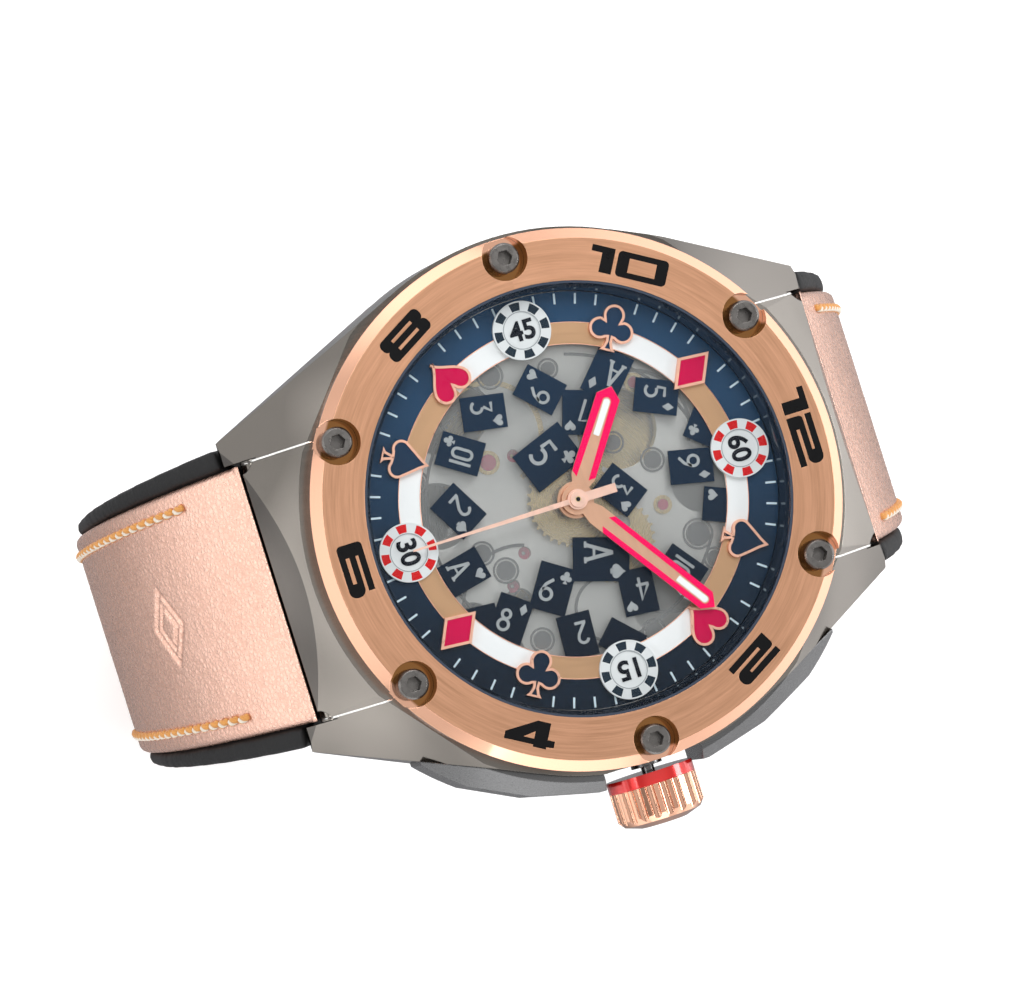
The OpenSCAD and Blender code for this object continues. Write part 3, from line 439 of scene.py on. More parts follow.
class Plates:
    """Many flat plates, each a 2-D outline with optional holes, raised between two heights, in one mesh."""

    def __init__(self):
        self.bm = bmesh.new()

    def add(self, outline, z0, z1, holes=(), bevel=0.0):
        bm = self.bm
        rings = []
        edges = []
        for k, ring in enumerate([outline, *holes]):
            pts = list(ring)
            if (area2(pts) > 0) == (k > 0):
                pts.reverse()
            vs = [bm.verts.new((x * MM, y * MM, z1 * MM)) for x, y in pts]
            es = [bm.edges.new((vs[i], vs[(i + 1) % len(vs)])) for i in range(len(vs))]
            rings.append(vs)
            edges += es
        made = bmesh.ops.triangle_fill(bm, edges=edges, use_beauty=True, use_dissolve=False, normal=(0, 0, 1))
        for f in [g for g in made["geom"] if isinstance(g, bmesh.types.BMFace)]:
            if f.normal.z < 0:
                f.normal_flip()
        for vs in rings:
            low = [bm.verts.new((v.co.x, v.co.y, z0 * MM)) for v in vs]
            for i in range(len(vs)):
                j = (i + 1) % len(vs)
                bm.faces.new((vs[i], low[i], low[j], vs[j]))

    def finish(self, name, mat, body, slot, turn=0.0, bevel=0.0):
        me = bpy.data.meshes.new(name)
        self.bm.to_mesh(me)
        self.bm.free()
        if turn:
            me.transform(Matrix.Rotation(math.radians(turn), 4, "Z"))
        me.materials.append(mats[mat].m)
        o = bpy.data.objects.new(name, me)
        bpy.context.scene.collection.objects.link(o)
        if bevel:
            b = o.modifiers.new("edge", "BEVEL")
            b.width = bevel * MM
            b.segments = 2
            b.limit_method = "ANGLE"
            b.angle_limit = math.radians(50)
        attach(o, body)
        return o


def rot2(p, a):
    c, s = math.cos(math.radians(a)), math.sin(math.radians(a))
    return (p[0] * c - p[1] * s, p[0] * s + p[1] * c)


def place(pts, x, y, cw=0.0, k=1.0):
    return [(x + q[0], y + q[1]) for q in (rot2((px * k, py * k), -cw) for px, py in pts)]


def arc(cx, cy, r, a0, a1, n):
    return [(cx + r * math.cos(math.radians(a0 + (a1 - a0) * i / n)), cy + r * math.sin(math.radians(a0 + (a1 - a0) * i / n))) for i in range(n + 1)]


# suit outlines about one unit high, as single closed outlines
def heart():
    pts = []
    for i in range(40):
        t = math.pi * 2 * i / 40
        pts.append((0.5 / 16 * 16 * math.sin(t) ** 3 * 1.02, (13 * math.cos(t) - 5 * math.cos(2 * t) - 2 * math.cos(3 * t) - math.cos(4 * t)) / 30 + 0.08))
    return pts


def diamond():
    return [(0, 0.55), (0.36, 0.0), (0, -0.55), (-0.36, 0.0)]


def club():
    pts = [(0.20, -0.52), (0.07, -0.30), (0.06, -0.16)]
    pts += arc(0.26, -0.05, 0.235, -150, 62, 12)
    pts += arc(0.0, 0.28, 0.24, -38, 218, 14)
    pts += arc(-0.26, -0.05, 0.235, 118, 330, 12)
    pts += [(-0.06, -0.16), (-0.07, -0.30), (-0.20, -0.52)]
    return pts


def spade():
    h = [(x, -y) for x, y in heart()]
    h = [(x, y + 0.1) for x, y in h]
    right = sorted([p for p in h if p[0] > 0.075], key=lambda p: math.atan2(p[1] + 0.02, p[0]))
    left = [(-x, y) for x, y in reversed(right)]
    low_r = [(0.20, -0.52), (0.06, -0.22)]
    return low_r + right + [(0, 0.60)] + left + [(-0.06, -0.22), (-0.20, -0.52)]


SUIT = {"h": heart, "d": diamond, "c": club, "s": spade}


# condensed card figures drawn as broad pen strokes, each about one unit high
def stroke(points, w):
    """A ribbon of width w along points."""
    left, right = [], []
    n = len(points)
    for i, p in enumerate(points):
        a = points[max(i - 1, 0)]
        b = points[min(i + 1, n - 1)]
        dx, dy = b[0] - a[0], b[1] - a[1]
        d = math.hypot(dx, dy) or 1.0
        nx, ny = -dy / d * w / 2, dx / d * w / 2
        left.append((p[0] + nx, p[1] + ny))
        right.append((p[0] - nx, p[1] - ny))
    return left + right[::-1]


def figure(ch):
    """Strokes of one figure: (points, width)."""
    w = 0.13
    f = {
        "1": [[(0.0, -0.5), (0.0, 0.5)]],
        "0": [arc(0, 0.25, 0.2, 180, 0, 8) + arc(0, -0.25, 0.2, 0, -180, 8) + [(-0.2, 0.05), (-0.2, 0.25)]],
        "2": [arc(0, 0.24, 0.22, 165, 0, 8) + [(0.17, 0.05), (-0.19, -0.44)], [(-0.24, -0.45), (0.26, -0.45)]],
        "3": [[(-0.2, 0.45), (0.2, 0.45), (-0.02, 0.09)], arc(-0.02, -0.2, 0.25, 85, -150, 11)],
        "4": [[(0.12, -0.5), (0.12, 0.5), (-0.25, -0.16)], [(-0.28, -0.18), (0.28, -0.18)]],
        "5": [[(0.22, 0.45), (-0.17, 0.45), (-0.19, 0.08)], arc(-0.01, -0.18, 0.26, 120, -140, 12)],
        "6": [[(0.18, 0.46), (-0.1, 0.2)] + arc(0, -0.2, 0.24, 160, -200, 16)],
        "7": [[(-0.24, 0.45), (0.24, 0.45), (-0.05, -0.5)]],
        "8": [arc(0, 0.24, 0.19, -80, 280, 14), arc(0, -0.23, 0.24, 90, -270, 16)],
        "9": [[(-0.18, -0.46), (0.1, -0.2)] + arc(0, 0.2, 0.24, -20, -380, 16)],
        "A": [[(-0.27, -0.5), (0.0, 0.5)], [(0.0, 0.5), (0.27, -0.5)], [(-0.17, -0.17), (0.17, -0.17)], [(-0.38, -0.48), (-0.16, -0.48)], [(0.16, -0.48), (0.38, -0.48)]],
    }[ch]
    return [(s, w if ch != "A" or i < 2 else 0.09) for i, s in enumerate(f)]


# ---------------------------------------------------------------- prints on the cards
TILES = [(0.2, 9.75, 12, 1, "9", "d"), (3.9, 11.4, 202, 1, "2", "h"), (-2.75, 12.0, 130, 1, "", "c"), (-5.8, 8.75, 23, 1, "5", "d"),
         (-8.6, 5.55, 133, 1.1, "A", "d"), (0.3, 3.75, 55, 1, "3", "h"), (-6.4, 2.5, 108, 1, "7", "h"), (-9.0, 0.05, 225, 1, "6", "h"),
         (-3.8, -0.9, 339.5, 1.3, "5", "c"), (7.7, 6.5, 52, 1, "10", ""), (8.25, 2.7, 95, 1.02, "4", "h"), (-8.6, -4.75, 9.5, 1, "3", "h"),
         (5.0, 0.65, 17, 1.28, "A", "s"), (6.05, -3.7, 303, 1.08, "6", "c"), (10.1, -2.95, 93, 1, "2", "c"),
         (7.3, -7.65, 307, 1.02, "8", "d"), (-6.1, -7.5, 213, 1, "10", "c"), (-1.9, -9.0, 60, 1.02, "2", "s"), (2.75, -10.05, 347.6, 1, "A", "h"),
         (6.9, -10.3, 4, 1, "7", "")]
zt = HEAD - 2.44
pl = Plates()
for tx, ty, cw, k, text, suit in TILES:
    for n, ch in enumerate(text):
        ox = -0.42 if len(text) == 1 else (-0.72 + 0.74 * n)
        for q, (pts, w) in enumerate(figure(ch)):
            out = [(ox + px * 1.75, -0.15 + py * 1.75) for px, py in stroke(pts, w)]
            out = place(out, tx, ty, cw, k)
            if max(math.hypot(*p) for p in out) < 12.1:
                pl.add(out, zt + 0.004, zt + 0.020 + 0.0006 * q)
    if suit:
        out = [(0.72 + px * 0.86, (1.0 if text != "10" else 1.1) + py * 0.86) for px, py in SUIT[suit]()]
        out = place(out, tx, ty, cw, k)
        if max(math.hypot(*p) for p in out) < 12.1:
            pl.add(out, zt + 0.004, zt + 0.021)
pl.finish("card_prints", "card_print", "watch_case", "pale_print")

# fine bright lines at both edges of the coloured ring
for name, r in (("ring_edge_inner", 12.2), ("ring_edge_outer", 13.9)):
    verts, faces = [], []
    n, k = 360, 8
    for i in range(n):
        a = 2 * math.pi * i / n
        for j in range(k):
            b = 2 * math.pi * j / k
            rr = r + 0.035 * math.cos(b)
            verts.append((rr * math.cos(a), rr * math.sin(a), HEAD - 2.295 + 0.03 * math.sin(b)))
    for i in range(n):
        for j in range(k):
            faces.append((i * k + j, ((i + 1) % n) * k + j, ((i + 1) % n) * k + (j + 1) % k, i * k + (j + 1) % k))
    new_object(name, verts, faces, "marker_copper", "watch_case")

# ---------------------------------------------------------------- polished crease lines on the lugs
case = N["case_middle"]
tree = BVHTree.FromPolygons([v.co.copy() for v in case.data.vertices], [tuple(q.vertices) for q in case.data.polygons])
cv, cf = [], []
for sx in (-1, 1):
    for sy in (-1, 1):
        line = []
        for i in range(25):
            t = i / 24
            x, y = sx * (10.42 + 0.0 * t), sy * (18.4 + 5.2 * t)
            hit = tree.ray_cast(Vector((x * MM, y * MM, (HEAD + 3) * MM)), Vector((0, 0, -1)))
            if hit[0] is not None and hit[0].z > (HEAD - 9.0) * MM:
                line.append(hit[0] + hit[1] * (0.02 * MM))
        if len(line) < 6:
            continue
        base = len(cv)
        for i, p_ in enumerate(line):
            tangent = (line[min(i + 1, len(line) - 1)] - line[max(i - 1, 0)]).normalized()
            u = tangent.cross(Vector((1, 0, 0))).normalized()
            r_ = 0.085 * MM * (0.3 if i in (0, len(line) - 1) else 1.0)
            for j in range(8):
                q = 2 * math.pi * j / 8
                cv.append(tuple(p_ + Vector((1, 0, 0)) * r_ * math.cos(q) + u * r_ * math.sin(q)))
        for i in range(len(line) - 1):
            for j in range(8):
                k = (j + 1) % 8
                cf.append((base + i * 8 + j, base + i * 8 + k, base + (i + 1) * 8 + k, base + (i + 1) * 8 + j))
        cf.append(tuple(base + j for j in reversed(range(8))))
        cf.append(tuple(base + (len(line) - 1) * 8 + j for j in range(8)))
mats["bright_edge"] = polished("bright_edge", (0.90, 0.89, 0.87), 0.32, edge=0.00001)
glint = bpy.data.meshes.new("case_edge_lines")
glint.from_pydata(cv, [], cf)
glint.materials.append(mats["bright_edge"].m)
gm = bmesh.new()
gm.from_mesh(glint)
bmesh.ops.recalc_face_normals(gm, faces=gm.faces)
gm.to_mesh(glint)
gm.free()
go = bpy.data.objects.new("case_edge_lines", glint)
bpy.context.scene.collection.objects.link(go)
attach(go, "watch_case")

# ---------------------------------------------------------------- hour markers and chips
def inset(ring, d):
    """The outline moved inwards by d."""
    pts = list(ring)
    if area2(pts) < 0:
        pts.reverse()
    n = len(pts)
    out = []
    for i in range(n):
        a_, b_, c_ = Vector(pts[i - 1]), Vector(pts[i]), Vector(pts[(i + 1) % n])
        e1, e2 = (b_ - a_), (c_ - b_)
        if e1.length < 1e-9 or e2.length < 1e-9:
            continue
        n1 = Vector((-e1.y, e1.x)).normalized()
        n2 = Vector((-e2.y, e2.x)).normalized()
        bis = n1 + n2
        if bis.length < 0.2:
            bis = n1
        bis.normalize()
        k = min(1.0 / max(bis.dot(n1), 0.35), 1.9)
        q = b_ + bis * d * k
        out.append((q.x, q.y))
    return out


def big(kind):
    """Outline of one hour marker in millimetres, about 3.9 high."""
    if kind == "d":
        return [(0, 2.05), (1.42, 0), (0, -2.05), (-1.42, 0)]
    if kind == "h":
        return [(x * 3.35, y * 3.45) for x, y in heart()]
    if kind == "c":
        right = [(0.62, -1.86), (0.40, -1.60), (0.24, -1.15), (0.26, -0.86)] + arc(0.92, -0.22, 0.86, -130, 92, 16) + arc(0.0, 0.98, 0.84, -32, 90, 12)
        return right + [(-x, y) for x, y in reversed(right[:-1])]
    right = [(0.66, -1.84), (0.34, -1.58), (0.20, -1.05)] + arc(0.78, -0.42, 0.74, -118, 40, 14) + [(0.94, 0.62), (0.42, 1.30), (0.0, 1.98)]
    return right + [(-x, y) for x, y in reversed(right[:-1])]


frames, navy_fill, red_fill = Plates(), Plates(), Plates()
for hour_a, kind, cw in ((30, "s", 30), (60, "h", 60), (120, "c", 300), (150, "d", 330), (210, "s", 30), (240, "h", 60), (300, "c", 300), (330, "d", 330)):
    cx, cy = 13.8 * math.sin(math.radians(hour_a)), 13.8 * math.cos(math.radians(hour_a))
    outer = big(kind)
    inner = inset(outer, 0.20 if kind != "d" else 0.22)
    frames.add(place(outer, cx, cy, cw), HEAD - 2.3, HEAD - 1.9, holes=[place(inner, cx, cy, cw)])
    (red_fill if kind in "hd" else navy_fill).add(place(inset(outer, 0.19), cx, cy, cw), HEAD - 2.3, HEAD - 1.97)
o = frames.finish("marker_rims", "marker_copper", "watch_case", "rose_gold")
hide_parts("marker_frames")
o = navy_fill.finish("marker_navy", "marker_navy", "watch_case", "navy_paint")
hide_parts("marker_navy_fills")
o = red_fill.finish("marker_red", "red_enamel", "watch_case", "red_enamel")
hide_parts("marker_red_fills")

rims, lines = Plates(), Plates()
for a_ in (0, 90, 180, 270):
    cx, cy = 13.8 * math.sin(math.radians(a_)), 13.8 * math.cos(math.radians(a_))
    circ = lambda r_, n_=72: [(cx + r_ * math.cos(2 * math.pi * i / n_), cy + r_ * math.sin(2 * math.pi * i / n_)) for i in range(n_)]
    rims.add(circ(2.315), HEAD - 2.3, HEAD - 1.925, holes=[circ(2.20)])
    lines.add(circ(1.50), HEAD - 2.0, HEAD - 1.93, holes=[circ(1.43)])
rims.finish("chip_rims", "chip_white", "watch_case", "white_enamel")
lines.finish("chip_inner_rings", "chip_line", "watch_case", "white_enamel")


def words(name, text, size, cx, cy, turn, z0, z1, mat, body, bold=0.0, wide=1.0):
    """A short number laid flat, its middle at (cx, cy)."""
    cu = bpy.data.curves.new(name + "_curve", "FONT")
    cu.body = text
    cu.size = size
    cu.offset = bold
    cu.resolution_u = 6
    tmp = bpy.data.objects.new(name + "_tmp", cu)
    bpy.context.scene.collection.objects.link(tmp)
    bpy.context.view_layer.update()
    me = bpy.data.meshes.new_from_object(tmp.evaluated_get(bpy.context.evaluated_depsgraph_get()))
    bpy.data.objects.remove(tmp)
    bpy.data.curves.remove(cu)
    bm = bmesh.new()
    bm.from_mesh(me)
    bmesh.ops.remove_doubles(bm, verts=bm.verts, dist=1e-5)
    xs = [v.co.x for v in bm.verts]
    ys = [v.co.y for v in bm.verts]
    mx_, my_ = (min(xs) + max(xs)) / 2, (min(ys) + max(ys)) / 2
    for v in bm.verts:
        x, y = rot2(((v.co.x - mx_) * wide, v.co.y - my_), -turn)
        v.co = ((cx + x) * MM, (cy + y) * MM, z0 * MM)
    got = bmesh.ops.extrude_face_region(bm, geom=bm.faces[:])
    for v in [g for g in got["geom"] if isinstance(g, bmesh.types.BMVert)]:
        v.co.z = z1 * MM
    bmesh.ops.recalc_face_normals(bm, faces=bm.faces)
    bm.to_mesh(me)
    bm.free()
    me.name = name
    me.materials.clear()
    me.materials.append(mats[mat].m)
    o = bpy.data.objects.new(name, me)
    bpy.context.scene.collection.objects.link(o)
    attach(o, body)
    return o


for text, a_, turn in (("60", 0, 0), ("15", 90, 90), ("30", 180, 0), ("45", 270, 270)):
    cx, cy = 13.8 * math.sin(math.radians(a_)), 13.8 * math.cos(math.radians(a_))
    o = words("chip_number_" + text, text, 2.15, cx, cy, turn, HEAD - 2.0, HEAD - 1.955, "numeral_black", "watch_case", bold=0.055, wide=0.98)
    if text == "60":
        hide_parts("chip_numerals")

# parts of the movement's dial side that show through the frosted disc
deck = {"nickel_dark": Plates(), "gilt_brass": Plates(), "ruby": Plates(), "blued_steel": Plates()}


def ring_of(cx, cy, r_, n_=40):
    return [(cx + r_ * math.cos(2 * math.pi * i / n_), cy + r_ * math.sin(2 * math.pi * i / n_)) for i in range(n_)]


def band(cx, cy, r0, r1, a0, a1):
    return arc(cx, cy, r1, a0, a1, 24) + arc(cx, cy, r0, a1, a0, 24)


z0, z1 = HEAD - 3.6, HEAD - 3.42
for x, y, r_, kind in ((-11.3, 6.8, 0.75, "nickel_dark"), (-10.4, 1.4, 0.55, "nickel_dark"), (5.4, 8.9, 0.95, "nickel_dark"), (7.6, 9.6, 0.6, "nickel_dark"),
                       (-1.2, 7.2, 0.7, "nickel_dark"), (-3.4, 4.6, 0.6, "nickel_dark"), (9.6, -5.5, 0.7, "nickel_dark"), (3.6, -6.6, 0.75, "nickel_dark"),
                       (-11.2, -3.2, 0.8, "nickel_dark"), (1.8, -8.0, 0.7, "nickel_dark"), (11.6, 3.2, 0.7, "nickel_dark"), (-5.0, -11.3, 0.7, "nickel_dark"),
                       (-4.8, -5.4, 0.62, "ruby"), (6.2, 3.4, 0.5, "ruby"), (-7.4, 7.6, 0.45, "ruby"), (2.4, 6.9, 0.42, "ruby"),
                       (-2.6, 2.6, 0.5, "blued_steel"), (9.4, -8.2, 0.5, "blued_steel"), (-9.6, 9.4, 0.5, "blued_steel")):
    if math.hypot(x, y) < 13.4:
        deck[kind].add(ring_of(x, y, r_), z0 + 0.002, z1)
        if kind != "nickel_dark":
            deck["gilt_brass"].add(ring_of(x, y, r_ + 0.32), z0 + 0.002, z1 - 0.04, holes=[ring_of(x, y, r_ + 0.03)])
        else:
            deck["nickel_dark"].add(ring_of(x, y, r_ + 0.28), z0 + 0.002, z1 - 0.05, holes=[ring_of(x, y, r_ + 0.14)])
for cx, cy, r0, r1, a0, a1, kind in ((-6.8, -4.6, 3.9, 4.3, 20, 200, "gilt_brass"), (5.6, 6.2, 5.0, 5.25, -30, 120, "nickel_dark"), (-4.0, 6.5, 4.4, 4.65, 60, 210, "nickel_dark"),
                                     (6.5, -6.2, 4.5, 4.75, 160, 330, "nickel_dark"), (0, 0, 11.4, 11.62, 95, 165, "nickel_dark"), (0, 0, 11.4, 11.62, 230, 300, "nickel_dark"),
                                     (0, 0, 11.4, 11.62, -20, 60, "nickel_dark"), (-9.0, -6.0, 2.0, 2.2, 90, 300, "nickel_dark"), (8.8, 0.2, 2.4, 2.62, 100, 330, "nickel_dark")):
    deck[kind].add(band(cx, cy, r0, r1, a0, a1), z0 + 0.002, z1 - 0.06)
mats["nickel_dark"] = brushed("nickel_dark", (0.07, 0.07, 0.075), 0.4, "x", fine=4200.0, long=300.0)
for kind, p_ in deck.items():
    p_.finish("dial_side_" + kind, kind, "watch_case", {"nickel_dark": "nickel_plate", "gilt_brass": "gilt_brass", "ruby": "ruby", "blued_steel": "blued_steel"}[kind])

# ---------------------------------------------------------------- hands: enamel borders and luminous slots
HOUR_A, MINUTE_A = 305.5, 54.75


def hand_dress(name, body, turn, length, w, z_top, base, lume0, lume1, inner, lw):
    # enamel border: two flanks joined at the point
    hw = w / 2 - 0.01
    tip = length - 0.03
    sh = length - 0.86
    outer = [(-inner, base), (-hw, base + (hw - inner) * 0.95), (-hw, sh), (0, tip), (hw, sh), (hw, base + (hw - inner) * 0.95), (inner, base)]
    top = lume1 + 0.12
    r = lw / 2 + 0.09
    inside = [(inner, base + 0.001)] + [(inner * (1 - t) + r * t, base + (top - r - base) * t) for t in (0.5, 1.0)]
    inside += arc(0, top - r, r, 0, 180, 12)[1:-1]
    inside += [(-(inner * (1 - t) + r * t), base + (top - r - base) * t) for t in (1.0, 0.5)] + [(-inner, base + 0.001)]
    p = Plates()
    ring = outer + inside[:1] + inside[1:-1] + inside[-1:]
    ring = outer[:-1] + inside[:-1] + []
    # the outline runs up the left flank, over the point, down the right flank and back inside
    loop = [(-inner, base), (-hw, base + 0.35), (-hw, sh), (0, tip), (hw, sh), (hw, base + 0.35), (inner, base)] + inside[1:-1]
    p.add([rot2(q, 0) for q in loop], z_top + 0.001, z_top + 0.036)
    e = p.finish(name + "_enamel", "hand_pink", body, "red_enamel", -turn)
    # luminous slot
    p = Plates()
    r2 = lw / 2
    slot = arc(0, lume1 - r2, r2, 0, 180, 14) + [(-r2 * 0.94, lume0 + 0.05), (-r2 * 0.8, lume0), (r2 * 0.8, lume0), (r2 * 0.94, lume0 + 0.05)]
    p.add(slot, z_top + 0.001, z_top + 0.03)
    l = p.finish(name + "_lume", "lume", body, "white_enamel", -turn)
    return e, l


hand_dress("hour_hand", "hours", HOUR_A, 9.35, 1.95, HEAD - 1.78, 1.75, 5.3, 8.3, 0.50, 0.52)
hand_dress("minute_hand", "minutes", MINUTE_A, 13.75, 1.65, HEAD - 1.38, 2.85, 10.0, 12.95, 0.42, 0.50)

# dark pivot hole in the seconds hand's cap
p = Plates()
p.add(arc(0, 0, 0.17, 0, 345, 23), HEAD - 0.93, HEAD - 0.893)
p.finish("seconds_pivot", "numeral_black", "seconds", "dark_steel")

# ---------------------------------------------------------------- strap
STRAP = {
    "12": dict(cy=-13.5, cz=34.0, r=45.0, a0=34.3, a1=-42.4, sign=1, body="strap_12"),
    "6": dict(cy=-7.3, cz=33.0, r=40.6, a0=40.4, a1=-48.4, sign=-1, body="strap_6"),
}


def leather_half(z):
    if z >= 58:
        return 10.4
    if z >= 25:
        return 9.15 + (10.4 - 9.15) * (z - 25) / 33
    return 8.95 + (9.15 - 8.95) * z / 25


def surface(s, ang, d, x):
    """Point of the strap: angle along it, depth under its outer face, place across it."""
    t = math.radians(ang)
    y = s["cy"] + (s["r"] - d) * math.cos(t)
    z = s["cz"] + (s["r"] - d) * math.sin(t)
    return (x, y * s["sign"], z)


def room(s, ang):
    """How deep the leather may go here before it meets the knuckle round the lug bar."""
    t = math.radians(ang)
    for i in range(0, 151):
        d = i * 0.01
        y = s["cy"] + (s["r"] - d) * math.cos(t)
        z = s["cz"] + (s["r"] - d) * math.sin(t)
        if math.hypot(y - 21.7, z - 58.5) < 2.2:
            return max(d - 0.02, 0.02)
    return 1.49


def pebble(p, size):
    d, _ = noise.voronoi(Vector(p) / size)
    return min(1.0, max(0.0, (d[1] - d[0]) / 0.45))


for key, s in STRAP.items():
    step = 0.15
    length = math.radians(s["a0"] - s["a1"]) * s["r"]
    ns = int(length / step)
    verts, faces, peb = [], [], []
    nx = int(20.8 / step)
    low_n = 14
    rows = []
    emb_a = 20.5 if key == "6" else None
    for i in range(ns + 1):
        ang = s["a0"] + (s["a1"] - s["a0"]) * i / ns
        along = i / ns * length
        z_here = surface(s, ang, 0, 0)[2]
        half = leather_half(z_here) - 0.02
        deep = room(s, ang)
        end = min(along, length - along)
        # the turned ends come down a little
        drop = 0.45 * max(0.0, 1 - end / 0.55) ** 2
        drop = min(drop, deep * 0.8)
        row = []
        for j in range(nx + 1):
            x = -half + 2 * half * j / nx
            edge = half - abs(x)
            rr = 0.62
            roll = rr - math.sqrt(max(0.0, rr * rr - (rr - min(edge, rr)) ** 2)) if edge < rr else 0.0
            roll = min(roll * 1.25, max(deep - 0.03, 0.02))
            # a shallow channel where the stitches pull the leather in
            d = max(roll, drop)
            in_row = 0.0
            if ang < 30.6 and ang > s["a1"] + 5:
                e = abs(edge - 1.62)
                in_row = 0.11 * math.exp(-((e / 0.34) ** 2))
            d += in_row
            # no puff between the rows and the edge: nothing is taken off here
            d -= 0.0
            emb = 0.0
            if emb_a is not None:
                ds = (emb_a - ang) * math.radians(1) * s["r"]
                q = abs(x) / 2.9 + abs(ds) / 2.1
                for lvl in (1.0, 0.62):
                    emb += math.exp(-(((q - lvl) * 1.75 / 0.20) ** 2))
                d += 0.20 * min(emb, 1.0)
            px = surface(s, ang, 0, x)
            h = pebble((px[0] * 1.0, px[1], px[2]), 0.46)
            h2 = noise.noise(Vector(px) * 0.55)
            grain = (1 - h) * 0.030 + 0.015 * h2
            if end < 0.3 or edge < 0.3:
                grain *= 0.4
            dd = min(d + grain + 0.035, max(deep - 0.012, 0.015))
            row.append(len(verts))
            verts.append(surface(s, ang, dd, x))
            peb.append(h * (1 - 0.5 * min(emb, 1.0)))
        # flesh side
        under = []
        for j in range(low_n + 1):
            x = half - 2 * half * j / low_n
            inset = 0.12 if j in (0, low_n) else 0.0
            under.append(len(verts))
            verts.append(surface(s, ang, max(deep, 0.03), x * (1 - inset / half)))
            peb.append(1.0)
        rows.append((row, under))
    for i in range(ns):
        (a, ua), (b, ub) = rows[i], rows[i + 1]
        ring_a, ring_b = a + ua, b + ub
        m_ = len(ring_a)
        for j in range(m_):
            k = (j + 1) % m_
            quad = (ring_a[j], ring_b[j], ring_b[k], ring_a[k])
            faces.append(quad if s["sign"] > 0 else quad[::-1])
    for row, under, flip in ((rows[0][0], rows[0][1], False), (rows[-1][0], rows[-1][1], True)):
        cap = row + under
        if flip == (s["sign"] > 0):
            cap = cap[::-1]
        faces.append(tuple(cap))
    o = new_object("leather_" + key, verts, faces, "rose_leather", s["body"])
    o.data.materials.append(mats["leather_edge"].m)
    at = o.data.attributes.new("pebble", "FLOAT", "POINT")
    at.data.foreach_set("value", peb)
    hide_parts("strap_leather_" + key)
    bm = bmesh.new()
    bm.from_mesh(o.data)
    bmesh.ops.recalc_face_normals(bm, faces=bm.faces)
    big = [f for f in bm.faces if len(f.verts) > 4]
    for f in big:
        f.material_index = 1
    bmesh.ops.triangulate(bm, faces=big)
    bm.to_mesh(o.data)
    bm.free()

    # stitches: three twisted strands each
    tubes = {"thread_gold": ([], []), "thread_cream": ([], [])}
    pitch, long_, thick = 1.36, 1.22, 0.20
    for side in (-1, 1):
        along = math.radians(s["a0"] - 30.2) * s["r"]
        count = 0
        while along < length - 5.2:
            for strand, (mat, phase, rad) in enumerate((("thread_gold", 0.0, thick), ("thread_gold", 2.2, thick), ("thread_cream", 4.1, thick * 0.92))):
                vs, fs = tubes[mat]
                nseg, nring = 12, 6
                base = len(vs)
                cents = []
                for i in range(nseg + 1):
                    t = i / nseg
                    dist = along + long_ * t
                    ang = s["a0"] - math.degrees(dist / s["r"])
                    z_here = surface(s, ang, 0, 0)[2]
                    half = leather_half(z_here)
                    lift = 0.26 * math.sin(math.pi * t) ** 0.55 - 0.14
                    tw = phase + t * 5.2
                    off = 0.17 * math.sin(math.pi * min(1, max(0, t))) ** 0.4
                    x = side * (half - 1.62) + (t - 0.5) * 0.16 + off * math.cos(tw)
                    dd = 0.10 - lift - off * math.sin(tw) * 0.8
                    cents.append((ang, dd, x))
                pts = [Vector(surface(s, a_, d_, x_)) for a_, d_, x_ in cents]
                for i, c in enumerate(pts):
                    tangent = (pts[min(i + 1, nseg)] - pts[max(i - 1, 0)]).normalized()
                    u = tangent.cross(Vector((1, 0, 0))).normalized()
                    v = tangent.cross(u)
                    r_ = rad * (0.35 if i in (0, nseg) else 1.0)
                    for j in range(nring):
                        q = 2 * math.pi * j / nring
                        vs.append(tuple(c + u * r_ * math.cos(q) + v * r_ * math.sin(q)))
                for i in range(nseg):
                    for j in range(nring):
                        k = (j + 1) % nring
                        fs.append((base + i * nring + j, base + i * nring + k, base + (i + 1) * nring + k, base + (i + 1) * nring + j))
                fs.append(tuple(base + j for j in reversed(range(nring))))
                fs.append(tuple(base + nseg * nring + j for j in range(nring)))
            along += pitch
            count += 1
    for mat, (vs, fs) in tubes.items():
        t = new_object("stitch_" + mat.split("_")[1] + "_" + key, vs, fs, mat, s["body"])
        bm = bmesh.new()
        bm.from_mesh(t.data)
        bmesh.ops.recalc_face_normals(bm, faces=bm.faces)
        bm.to_mesh(t.data)
        bm.free()

    # moulded rubber body, from the CAD solid, with its edges softened
    src = N["strap_rubber_" + key]
    me = src.data.copy()
    me.name = "rubber_" + key
    me.materials.clear()
    me.materials.append(mats["black_rubber"].m)
    r = bpy.data.objects.new("rubber_" + key, me)
    bpy.context.scene.collection.objects.link(r)
    rm = r.modifiers.new("remesh", "REMESH")
    rm.mode = "VOXEL"
    rm.voxel_size = 0.00020
    rm.use_smooth_shade = True
    sm = r.modifiers.new("soften", "SMOOTH")
    sm.factor = 0.5
    sm.iterations = 45
    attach(r, s["body"])
    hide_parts("strap_rubber_" + key)

